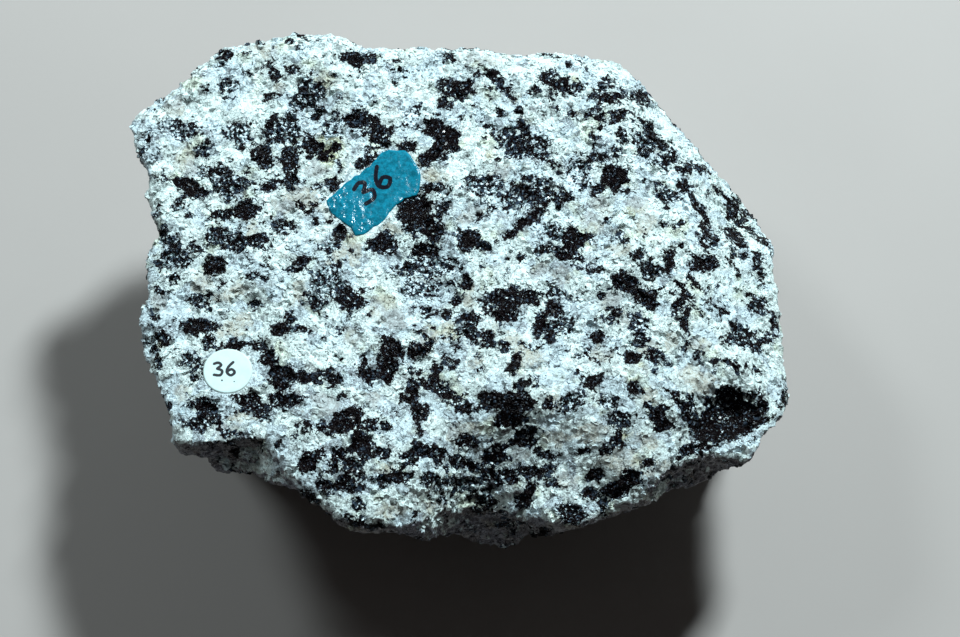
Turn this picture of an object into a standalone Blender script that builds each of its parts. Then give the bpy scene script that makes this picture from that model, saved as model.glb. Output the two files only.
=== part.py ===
"""A hand specimen of tonalite: one broken stone lying on its back, with a stroke of teal paint
and a round paper dot on its upper face, both carrying a plain catalogue number.

Units are metres, +Z is up, and the origin is under the middle of the stone, on the table.
Run with: blender --background --python part.py
"""

import math

import bmesh
import bpy
import numpy as np
from mathutils import Vector

MM = 0.001

# Driving sizes of the stone and of what is stuck to it
STONE_WIDTH = 107 * MM
FACE_HEIGHT = 36 * MM
DOT_DIAMETER = 8 * MM
DOT_THICKNESS = 0.35 * MM
PAINT_THICKNESS = 0.5 * MM
CLEARANCE = 0.3 * MM

# The view in which the outline is read: it looks steeply down on the stone from the front
PICTURE_MIDDLE = (480.0, 318.5)
VIEW_ELEVATION = math.radians(64)
VIEW_DISTANCE = 0.70
PIXELS_WIDE = 657.0
PIXEL = STONE_WIDTH / PIXELS_WIDE
AIM = np.array([3.4 * MM, -3.9 * MM, FACE_HEIGHT])
TO_EYE = np.array([0.0, -math.cos(VIEW_ELEVATION), math.sin(VIEW_ELEVATION)])
VIEW_UP = np.array([0.0, math.sin(VIEW_ELEVATION), math.cos(VIEW_ELEVATION)])
EYE = AIM + VIEW_DISTANCE * TO_EYE

# The stone's outline in that view, clockwise from the left corner, as (across, down) in pixels
OUTLINE = (
    (130, 132), (133, 119), (142, 110), (163, 99), (183, 83), (194, 75), (200, 63), (211, 60),
    (216, 50), (224, 47), (250, 45), (275, 40), (285, 34), (318, 35), (340, 36), (352, 41),
    (360, 48), (400, 50), (440, 50), (470, 49), (490, 51), (507, 55), (524, 57), (536, 54),
    (552, 53), (572, 56), (588, 61), (613, 62), (632, 76), (646, 92), (660, 110), (676, 126),
    (690, 142), (703, 160), (716, 176), (732, 191), (744, 206), (756, 220), (765, 236),
    (772, 248), (772, 268), (775, 290), (778, 315), (780, 340), (782, 362), (786, 375),
    (788, 395), (785, 412), (781, 422), (767, 433), (759, 437), (757, 446), (752, 457),
    (745, 466), (735, 470), (728, 471), (722, 480), (708, 486), (692, 494), (660, 501),
    (640, 509), (618, 514), (600, 520), (586, 527), (572, 528), (558, 531), (548, 539),
    (536, 545), (522, 554), (508, 558), (498, 552), (470, 548), (436, 543), (410, 541),
    (396, 535), (378, 533), (362, 536), (350, 533), (335, 526), (324, 514), (312, 504),
    (300, 496), (290, 488), (270, 488), (238, 487), (225, 483), (212, 480), (203, 473),
    (186, 461), (178, 455), (177, 445), (173, 430), (168, 412), (160, 395), (158, 382),
    (143, 365), (137, 355), (136, 342), (142, 320), (141, 312), (147, 300), (149, 290),
    (147, 275), (145, 262), (147, 250), (158, 238), (158, 228), (148, 208), (147, 195),
    (150, 180), (149, 170), (137, 158), (136, 147),
)
OUTLINE_MIDDLE = (458.0, 290.0)
OUTLINE_GROWTH = 1.5

# Where the upper face ends and a steep side shows below it, in the same pixels
FACE_EDGES = (
    (
        (178, 449), (190, 447), (205, 447), (230, 443), (244, 439), (257, 439), (266, 446),
        (275, 457), (284, 471), (296, 485), (310, 497), (322, 507), (336, 518), (350, 526),
        (366, 530), (380, 531),
    ),
    (
        (388, 530), (404, 527), (422, 523), (434, 517), (446, 514), (470, 513), (497, 514),
        (516, 518), (534, 524), (552, 527), (562, 524),
    ),
    (
        (612, 515), (626, 509), (640, 502), (652, 488), (664, 475), (680, 464), (700, 456),
        (715, 452), (727, 461),
    ),
)
SIDE_FALL = 0.155 * MM
EDGE_CLEAR = 40.0
EDGE_RAGGED = 3.5
EDGE_RAGGED_SIZE = 4.5 * MM
RIM_BAND = 11.0
RIM_FALL = 1.5 * MM

# How the upper face falls away: to the right of the line from start to end, so much a pixel
SLOPES = {
    "upper_right_bevel": ((716, 232), (572, 48), 0.155 * MM),
    "right_side": ((712, 430), (696, 170), 0.080 * MM),
    "lower_right": ((462, 400), (716, 392), 0.062 * MM),
    "lower_left": ((180, 470), (500, 430), 0.028 * MM),
    "upper_left": ((250, 20), (118, 200), 0.045 * MM),
}
SLOPE_FADE = 60.0
FOLD_WIDTH = 5.0

# Swellings and hollows of the upper face: across, down, reach in pixels, and height
SWELLS = (
    (318, 60, 46, 1.6 * MM),
    (520, 362, 48, 1.3 * MM),
    (598, 120, 60, 0.9 * MM),
    (440, 285, 42, -1.5 * MM),
    (405, 190, 60, -0.8 * MM),
    (230, 250, 50, 0.9 * MM),
    (172, 160, 22, -1.2 * MM),
    (262, 395, 36, -1.0 * MM),
    (330, 350, 52, 0.8 * MM),
    (400, 440, 44, 0.8 * MM),
    (728, 418, 24, -2.8 * MM),
    (690, 432, 20, -1.4 * MM),
    (744, 452, 13, 2.2 * MM),
    (672, 330, 46, 0.9 * MM),
    (510, 445, 30, -1.1 * MM),
    (148, 352, 15, -3.4 * MM),
    (560, 205, 44, -0.7 * MM),
)

# How the sides lean in below the rim, as run over fall along the line of sight: mean and swing
MEAN_LEAN = 0.17
LEAN_SWING = 0.22
LEAST_LEAN = 0.03

# The flat breaks that cut the sides back, as (direction in degrees anticlockwise from the right,
# reach from the middle, height where the break begins, degrees by which it faces down)
SIDE_BREAKS = (
    (-8, 52 * MM, 16 * MM, 16),
    (15, 51 * MM, 10 * MM, 38),
    (38, 56 * MM, 16 * MM, 8),
    (56, 52 * MM, 11 * MM, 40),
    (77, 51 * MM, 20 * MM, 10),
    (97, 49 * MM, 12 * MM, 38),
    (113, 54 * MM, 22 * MM, 9),
    (136, 56 * MM, 13 * MM, 34),
    (158, 54 * MM, 22 * MM, 7),
    (177, 50 * MM, 11 * MM, 30),
    (197, 50 * MM, 25 * MM, 5),
    (216, 44 * MM, 11 * MM, 36),
    (240, 36 * MM, 19 * MM, 32),
    (268, 34 * MM, 19 * MM, 38),
    (294, 36 * MM, 18 * MM, 33),
    (319, 43 * MM, 11 * MM, 34),
    (340, 50 * MM, 18 * MM, 15),
)
DEEPEST_BREAK = 1.1

# The hollow chips of the hackly sides and underside: size across, depth, and a seed for each
CHIPS = ((15 * MM, 2.8 * MM, 7), (6.5 * MM, 1.2 * MM, 19))
STEEP_CHIPS = 0.5
RIM_BLEND_DEGREES = 9
CHIPS_START = 5 * MM

# The underside: facets that rise outwards from the flat spot that the stone rests on, as
# (direction in degrees, distance of the facet's foot from the spot's middle, rise over run)
REST_MIDDLE = np.array([0.0, 6 * MM])
UNDERSIDE_FACETS = (
    (8, 16 * MM, 0.17),
    (52, 13 * MM, 0.20),
    (98, 15 * MM, 0.14),
    (141, 14 * MM, 0.19),
    (186, 17 * MM, 0.15),
    (232, 13 * MM, 0.22),
    (283, 12 * MM, 0.18),
    (330, 15 * MM, 0.24),
    (22, 32 * MM, 0.56),
    (76, 27 * MM, 0.50),
    (121, 34 * MM, 0.48),
    (166, 35 * MM, 0.62),
    (213, 29 * MM, 0.50),
    (264, 25 * MM, 0.58),
    (309, 28 * MM, 0.62),
    (347, 35 * MM, 0.50),
)

# Lumps of the broken surface: size across, height, and a seed for each
LUMPS = ((17 * MM, 1.0 * MM, 3), (8.5 * MM, 0.8 * MM, 11), (4.6 * MM, 0.65 * MM, 23))
RAGGED_SIZE = 9 * MM
RAGGED_REACH = 9.0

# The paper dot's middle, and the stroke of paint's outline, clockwise from its left corner
DOT_MIDDLE = (227.8, 371.8)
DOT_SEAT = (30.0, 44.0)
PAINT_OUTLINE = (
    (326, 201), (333, 195), (350, 180), (359, 175), (369, 167), (376, 159), (381, 153), (389, 150),
    (398, 151), (405, 151), (411, 156), (416, 163), (420, 171), (421, 180), (419, 189), (416, 196),
    (410, 198), (404, 199), (397, 205), (389, 212), (382, 222), (373, 228), (363, 235), (355, 236),
    (351, 228), (345, 224), (338, 219), (332, 214), (328, 208),
)
PAINT_MIDDLE = (374.0, 191.0)
PAINT_SEAT = (56.0, 84.0)
PAINT_LUMP_SHARE = 0.3
PAINT_RINGS = 5
PAINT_LIFT = 0.15 * MM

STONE_MIDDLE = np.array([0.0, 0.0, 17 * MM])
STONE_REACH = np.array([54 * MM, 46 * MM, 21 * MM])
SPHERE_LEVELS = 7
EVEN_FACTOR = 0.5
EVEN_ROUNDS = 4
STONE_FACES = 8600
FLAT_SNAP = 0.03 * MM

COLOURS = {
    "tonalite": ((0.78, 0.82, 0.83), 0.75),
    "paint_label": ((0.03, 0.42, 0.55), 0.30),
    "paper_label": ((0.86, 0.93, 0.92), 0.60),
}


def clear_scene():
    for obj in list(bpy.data.objects):
        bpy.data.objects.remove(obj)


def smooth_step(value, low, high):
    share = np.clip((value - low) / (high - low), 0.0, 1.0)
    return share * share * (3 - 2 * share)


def soft_positive(value, softness):
    """The value where it is positive and nothing below that, with a round bend between."""
    return 0.5 * (value + np.sqrt(value * value + softness * softness)) - 0.5 * softness


def cell_value(cell, seed):
    """A value from -1 to 1 for each whole-numbered cell, the same for the same seed."""
    key = cell[:, 0] * 73856093 ^ cell[:, 1] * 19349663 ^ cell[:, 2] * 83492791 ^ seed * 2654435761
    key = (key ^ (key >> 13)) * 1274126177
    return ((key ^ (key >> 16)) & 0xFFFF) / 0x7FFF - 1.0


def noise(points, size, seed):
    """Smooth lumps of about that size, from -1 to 1."""
    grid = points / size + 37.0 * seed
    corner = np.floor(grid).astype(np.int64)
    share = grid - corner
    share = share * share * (3 - 2 * share)
    total = np.zeros(len(points))
    for step in np.ndindex(2, 2, 2):
        weight = np.prod(np.where(step, share, 1 - share), axis=1)
        total += weight * cell_value(corner + step, seed)
    return total


def chips(points):
    """Depth of the hollow chips at points, ridged where two chips meet."""
    depth = np.zeros(len(points))
    for size, deepest, seed in CHIPS:
        grid = points / size + 11.0 * seed
        corner = np.floor(grid).astype(np.int64)
        nearest = np.full(len(points), 4.0)
        for step in np.ndindex(3, 3, 3):
            cell = corner + np.array(step) - 1
            shift = np.stack([cell_value(cell, seed + axis) for axis in range(3)], axis=1)
            centre = cell + 0.5 + 0.42 * shift
            nearest = np.minimum(nearest, ((grid - centre) ** 2).sum(axis=1))
        depth += deepest * np.clip(1 - nearest / 0.8, 0, 1)
    return depth


def to_picture(points):
    """(across, down) in pixels of points seen in the view."""
    away = VIEW_DISTANCE - (points - AIM) @ TO_EYE
    scale = VIEW_DISTANCE / PIXEL / away
    across = PICTURE_MIDDLE[0] + (points - AIM)[:, 0] * scale
    down = PICTURE_MIDDLE[1] - (points - AIM) @ VIEW_UP * scale
    return across, down


def from_picture(across, down, height):
    """The points at that height above the table that show at a place in the picture."""
    across, down, height = np.broadcast_arrays(across, down, height)
    right = (across - PICTURE_MIDDLE[0]) * PIXEL
    up = (PICTURE_MIDDLE[1] - down) * PIXEL
    through = AIM + np.outer(right, (1, 0, 0)) + np.outer(up, VIEW_UP)
    ray = through - EYE
    return EYE + ray * ((height - EYE[2]) / ray[:, 2])[:, None]


def polar(across, down):
    """Distance in pixels and angle, anticlockwise, about the middle of the outline."""
    right, up = across - OUTLINE_MIDDLE[0], OUTLINE_MIDDLE[1] - down
    return np.hypot(right, up), np.arctan2(up, right)


def curve_radius(curve, angle, period=None):
    radii, angles = polar(*np.array(curve, float).T)
    order = np.argsort(angles)
    return np.interp(angle, angles[order], radii[order], period=period)


def outline_radius(angle):
    return curve_radius(OUTLINE, angle, 2 * math.pi) + OUTLINE_GROWTH


def face_edge_radius(angle):
    """Where the upper face ends: well outside the outline, except where a steep side shows."""
    radius = outline_radius(angle) + EDGE_CLEAR
    for curve in FACE_EDGES:
        angles = polar(*np.array(curve, float).T)[1]
        inside = (angle > angles.min()) & (angle < angles.max())
        radius = np.where(inside, curve_radius(curve, angle), radius)
    return radius


def slope_fall(across, down, start, end, fall):
    """How far one slope has fallen at these places, fading out past the ends of its line."""
    along = np.subtract(end, start)
    length = math.hypot(*along)
    along = along / length
    run = (down - start[1]) * along[0] - (across - start[0]) * along[1]
    place = (across - start[0]) * along[0] + (down - start[1]) * along[1]
    fade = smooth_step(place, -SLOPE_FADE, 0) * smooth_step(-place, -length - SLOPE_FADE, -length)
    return fall * soft_positive(run, FOLD_WIDTH) * fade


def seat_share(across, down, middle, seat):
    """1 under a label and 0 clear of it."""
    distance = np.hypot(across - middle[0], down - middle[1])
    return 1 - smooth_step(distance, *seat)


def plain_face_height(across, down):
    """Height of the upper face without its lumps, rim or steep sides."""
    height = np.full(np.shape(across), FACE_HEIGHT)
    for start, end, fall in SLOPES.values():
        height = height - slope_fall(across, down, start, end, fall)
    for middle_across, middle_down, reach, rise in SWELLS:
        squared = (across - middle_across) ** 2 + (down - middle_down) ** 2
        height = height + rise * np.exp(-squared / reach**2)
    return height


def flat_points(across, down):
    return np.stack([across * PIXEL, -down * PIXEL, np.zeros(len(across))], axis=1)


def ragged_face_height(across, down):
    """The upper face with its folds made ragged, and with lumps that fade under the two labels."""
    flat = flat_points(across, down)
    paint = 1 - (1 - PAINT_LUMP_SHARE) * seat_share(across, down, PAINT_MIDDLE, PAINT_SEAT)
    dot = 1 - seat_share(across, down, DOT_MIDDLE, DOT_SEAT)
    shift = RAGGED_REACH * paint * dot
    height = plain_face_height(
        across + shift * noise(flat, RAGGED_SIZE, 41), down + shift * noise(flat, RAGGED_SIZE, 43)
    )
    lumps = sum(rise * noise(flat, size, seed) for size, rise, seed in LUMPS)
    return height * dot + dot_height() * (1 - dot) + lumps * paint * dot


def dot_height():
    return float(plain_face_height(*np.array([DOT_MIDDLE]).T)[0])


def steep_share(across, down):
    """1 on the steep sides that show below the upper face, and 0 on that face."""
    radius, angle = polar(across, down)
    return smooth_step(radius - face_edge_radius(angle), -4.0, 4.0)


def shown_height(across, down):
    """Height above the table of the stone's surface that shows at a place in the picture."""
    radius, angle = polar(across, down)
    ragged = EDGE_RAGGED * noise(flat_points(across, down), EDGE_RAGGED_SIZE, 47)
    past_edge = radius - face_edge_radius(angle) + ragged
    rim = np.clip((radius - outline_radius(angle) + RIM_BAND) / RIM_BAND, 0, 1.3)
    rounded = RIM_FALL * rim**2 * (1 - steep_share(across, down))
    return ragged_face_height(across, down) - SIDE_FALL * soft_positive(past_edge, 3.0) - rounded


def rim_levels():
    """How near the eye the rim lies all round, as (angles, levels), blended across its lower stretches."""
    angles = np.radians(np.arange(-180, 180, 0.5))
    across = OUTLINE_MIDDLE[0] + outline_radius(angles) * np.cos(angles)
    down = OUTLINE_MIDDLE[1] - outline_radius(angles) * np.sin(angles)
    levels = from_picture(across, down, shown_height(across, down)) @ TO_EYE
    steps = range(-2 * RIM_BLEND_DEGREES, 2 * RIM_BLEND_DEGREES + 1)
    blended = sum(np.roll(levels, step) for step in steps) / len(steps)
    return angles, np.minimum(levels, blended)


def side_gap(points, chip_depth, rim):
    """How far points lie outside the chipped side walls, which lean in below the rim."""
    radius, angle = polar(*to_picture(points))
    below = np.maximum(np.interp(angle, *rim, period=2 * math.pi) - points @ TO_EYE, 0)
    lean = np.maximum(MEAN_LEAN + LEAN_SWING * np.sin(angle), LEAST_LEAN)
    broken = np.full(len(points), -1.0)
    for degrees, reach, top, down_degrees in SIDE_BREAKS:
        turn, tilt = math.radians(degrees), math.radians(down_degrees)
        outward = np.array([math.cos(turn), math.sin(turn)])
        run = points[:, :2] @ outward - reach
        broken = np.maximum(broken, run * math.cos(tilt) - (points[:, 2] - top) * math.sin(tilt))
    outside = (radius - outline_radius(angle)) * PIXEL
    gap = np.maximum(outside + lean * below, np.minimum(broken, outside + DEEPEST_BREAK * below))
    return gap + smooth_step(below, 0, CHIPS_START) * chip_depth


def underside_height(points, chip_depth):
    """Height of the underside: level in the flat spot, and rising outwards in chipped facets."""
    height = np.full(len(points), -1.0)
    for degrees, foot, rise in UNDERSIDE_FACETS:
        outward = np.array([math.cos(math.radians(degrees)), math.sin(math.radians(degrees))])
        height = np.maximum(height, rise * ((points[:, :2] - REST_MIDDLE) @ outward - foot))
    return np.maximum(height + chip_depth * smooth_step(height, 0, 2 * MM), 0)


def stone_gap(points, rim):
    """Above zero outside the stone, and below zero in it."""
    chip_depth = chips(points)
    across, down = to_picture(points)
    above = (points[:, 2] - shown_height(across, down)) * TO_EYE[2]
    above += STEEP_CHIPS * steep_share(across, down) * chip_depth
    below = underside_height(points, chip_depth) - points[:, 2]
    return np.maximum(np.maximum(above, side_gap(points, chip_depth, rim)), below)


def stone_surface(directions):
    """Where rays from the stone's middle leave it."""
    rays = directions * STONE_REACH
    rim = rim_levels()
    reach = np.zeros(len(rays))
    for step in np.linspace(0.40, 1.60, 31):
        inside = stone_gap(STONE_MIDDLE + rays * step, rim) < 0
        reach[inside] = step
    low, high = reach, reach + 0.04
    for _ in range(12):
        middle = (low + high) / 2
        inside = stone_gap(STONE_MIDDLE + rays * middle[:, None], rim) < 0
        low = np.where(inside, middle, low)
        high = np.where(inside, high, middle)
    return STONE_MIDDLE + rays * high[:, None]


def material(name):
    colour, roughness = COLOURS[name]
    made = bpy.data.materials.new(name)
    made.use_nodes = True
    shader = made.node_tree.nodes["Principled BSDF"]
    shader.inputs["Base Color"].default_value = (*colour, 1)
    shader.inputs["Roughness"].default_value = roughness
    shader.inputs["Metallic"].default_value = 0
    return made


def add_piece(name, mesh, collection):
    piece = bpy.data.objects.new(name, mesh)
    mesh.materials.append(material(name))
    collection.objects.link(piece)
    return piece


def make_stone(collection):
    """A fine sphere whose points are moved out to the broken surface, then thinned where it is flat."""
    body = bmesh.new()
    bmesh.ops.create_icosphere(body, subdivisions=SPHERE_LEVELS, radius=1)
    directions = np.array([vertex.co for vertex in body.verts])
    places = stone_surface(directions)
    places[np.abs(places[:, 2]) < FLAT_SNAP, 2] = 0
    for vertex, place in zip(body.verts, places):
        vertex.co = place
    mesh = bpy.data.meshes.new("tonalite")
    body.to_mesh(mesh)
    body.free()
    stone = add_piece("tonalite", mesh, collection)
    even = stone.modifiers.new("even", "SMOOTH")
    even.factor = EVEN_FACTOR
    even.iterations = EVEN_ROUNDS
    thin = stone.modifiers.new("thin", "DECIMATE")
    thin.ratio = STONE_FACES / len(mesh.polygons)
    return stone


def make_dot(collection):
    """The round paper dot, lying flat on its level seat."""
    middle = from_picture(*[np.array([value]) for value in DOT_MIDDLE], dot_height())[0]
    body = bmesh.new()
    radius = DOT_DIAMETER / 2
    bmesh.ops.create_cone(
        body, cap_ends=True, segments=48, radius1=radius, radius2=radius, depth=DOT_THICKNESS
    )
    mesh = bpy.data.meshes.new("paper_label")
    body.to_mesh(mesh)
    body.free()
    dot = add_piece("paper_label", mesh, collection)
    dot.location = Vector(middle) + Vector((0, 0, CLEARANCE + DOT_THICKNESS / 2))
    return dot


def make_paint(collection):
    """The stroke of paint: a disc cut into rings, drawn out to the outline, that follows the stone."""
    body = bmesh.new()
    count = len(PAINT_OUTLINE)
    bmesh.ops.create_circle(body, cap_ends=True, cap_tris=True, segments=count, radius=1)
    spokes = [edge for edge in body.edges if min(vertex.co.length for vertex in edge.verts) < 0.5]
    bmesh.ops.subdivide_edges(body, edges=spokes, cuts=PAINT_RINGS - 1)
    share = np.array([vertex.co.length for vertex in body.verts])
    turn = np.array([math.atan2(vertex.co.y, vertex.co.x) for vertex in body.verts])
    corner = np.round(-turn / (2 * math.pi) * count).astype(int) % count
    shown = np.array(PAINT_MIDDLE) + share[:, None] * (np.array(PAINT_OUTLINE)[corner] - PAINT_MIDDLE)
    places = from_picture(*shown.T, shown_height(*shown.T))
    for vertex, place in zip(body.verts, places):
        vertex.co = Vector(place) + Vector((0, 0, CLEARANCE + PAINT_LIFT))
    bmesh.ops.recalc_face_normals(body, faces=body.faces)
    if sum(face.normal.z for face in body.faces) < 0:
        bmesh.ops.reverse_faces(body, faces=body.faces)
    mesh = bpy.data.meshes.new("paint_label")
    body.to_mesh(mesh)
    body.free()
    paint = add_piece("paint_label", mesh, collection)
    skin = paint.modifiers.new("thickness", "SOLIDIFY")
    skin.thickness = PAINT_THICKNESS
    skin.offset = 1
    return paint


def centre_on_base(stone, pieces):
    """Moves the pieces together, to put the origin on the table under the middle of the stone's box."""
    graph = bpy.context.evaluated_depsgraph_get()
    corners = np.array([corner[:] for corner in stone.evaluated_get(graph).bound_box])
    low, high = corners.min(axis=0), corners.max(axis=0)
    shift = Vector(((low[0] + high[0]) / 2, (low[1] + high[1]) / 2, low[2]))
    for piece in pieces:
        piece.location -= shift


def main():
    clear_scene()
    collection = bpy.data.collections.new("tonalite_specimen")
    bpy.context.scene.collection.children.link(collection)
    stone = make_stone(collection)
    dot = make_dot(collection)
    paint = make_paint(collection)
    centre_on_base(stone, (stone, dot, paint))


main()
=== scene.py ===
"""Looks of a tonalite hand specimen: a broken stone with a dab of teal paint and a paper dot on it.

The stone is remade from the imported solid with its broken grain, its minerals are set out on it, and
the two labels are laid on the grain. Places read in the picture are (across, down) in its pixels.
"""

import math

import bmesh
import bpy
import numpy as np
from bpy.props import FloatProperty, FloatVectorProperty, IntProperty, PointerProperty, StringProperty
from mathutils import Matrix, Vector
from mathutils.bvhtree import BVHTree


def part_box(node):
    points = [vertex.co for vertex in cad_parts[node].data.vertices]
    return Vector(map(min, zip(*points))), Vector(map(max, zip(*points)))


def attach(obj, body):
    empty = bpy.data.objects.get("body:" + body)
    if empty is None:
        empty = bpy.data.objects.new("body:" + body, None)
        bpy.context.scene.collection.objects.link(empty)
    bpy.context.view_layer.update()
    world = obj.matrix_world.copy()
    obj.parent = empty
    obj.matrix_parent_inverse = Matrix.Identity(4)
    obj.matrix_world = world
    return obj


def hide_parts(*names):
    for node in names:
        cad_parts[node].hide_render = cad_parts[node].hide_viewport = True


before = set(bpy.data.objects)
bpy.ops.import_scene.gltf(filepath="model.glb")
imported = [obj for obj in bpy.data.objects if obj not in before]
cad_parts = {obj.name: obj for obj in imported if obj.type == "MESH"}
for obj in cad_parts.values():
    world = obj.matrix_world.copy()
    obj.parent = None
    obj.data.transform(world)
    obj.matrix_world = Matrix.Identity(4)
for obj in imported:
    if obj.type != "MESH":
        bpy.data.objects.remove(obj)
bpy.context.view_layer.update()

bl_info = {
    "name": "Tonalite hand specimen",
    "version": (1, 0, 0),
    "blender": (4, 5, 0),
    "location": "View3D > Sidebar > Tonalite",
    "description": "Dresses the packed stone with its grain, minerals and two labels",
    "category": "Object",
}

MM = 0.001

# The picture's view: where it looks, from how far and how steeply, and how much a pixel spans there
PICTURE_MIDDLE = (480.0, 318.5)
PICTURE_WIDTH = 960
VIEW_ELEVATION = math.radians(64)
VIEW_DISTANCE = 0.70
PIXEL = 107 * MM / 657
AIM = np.array([3.92 * MM, -8.42 * MM, 36 * MM])
TO_EYE = np.array([0.0, -math.cos(VIEW_ELEVATION), math.sin(VIEW_ELEVATION)])
VIEW_UP = np.array([0.0, math.sin(VIEW_ELEVATION), math.cos(VIEW_ELEVATION)])
EYE = AIM + VIEW_DISTANCE * TO_EYE
SENSOR_WIDTH = 36.0

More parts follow.
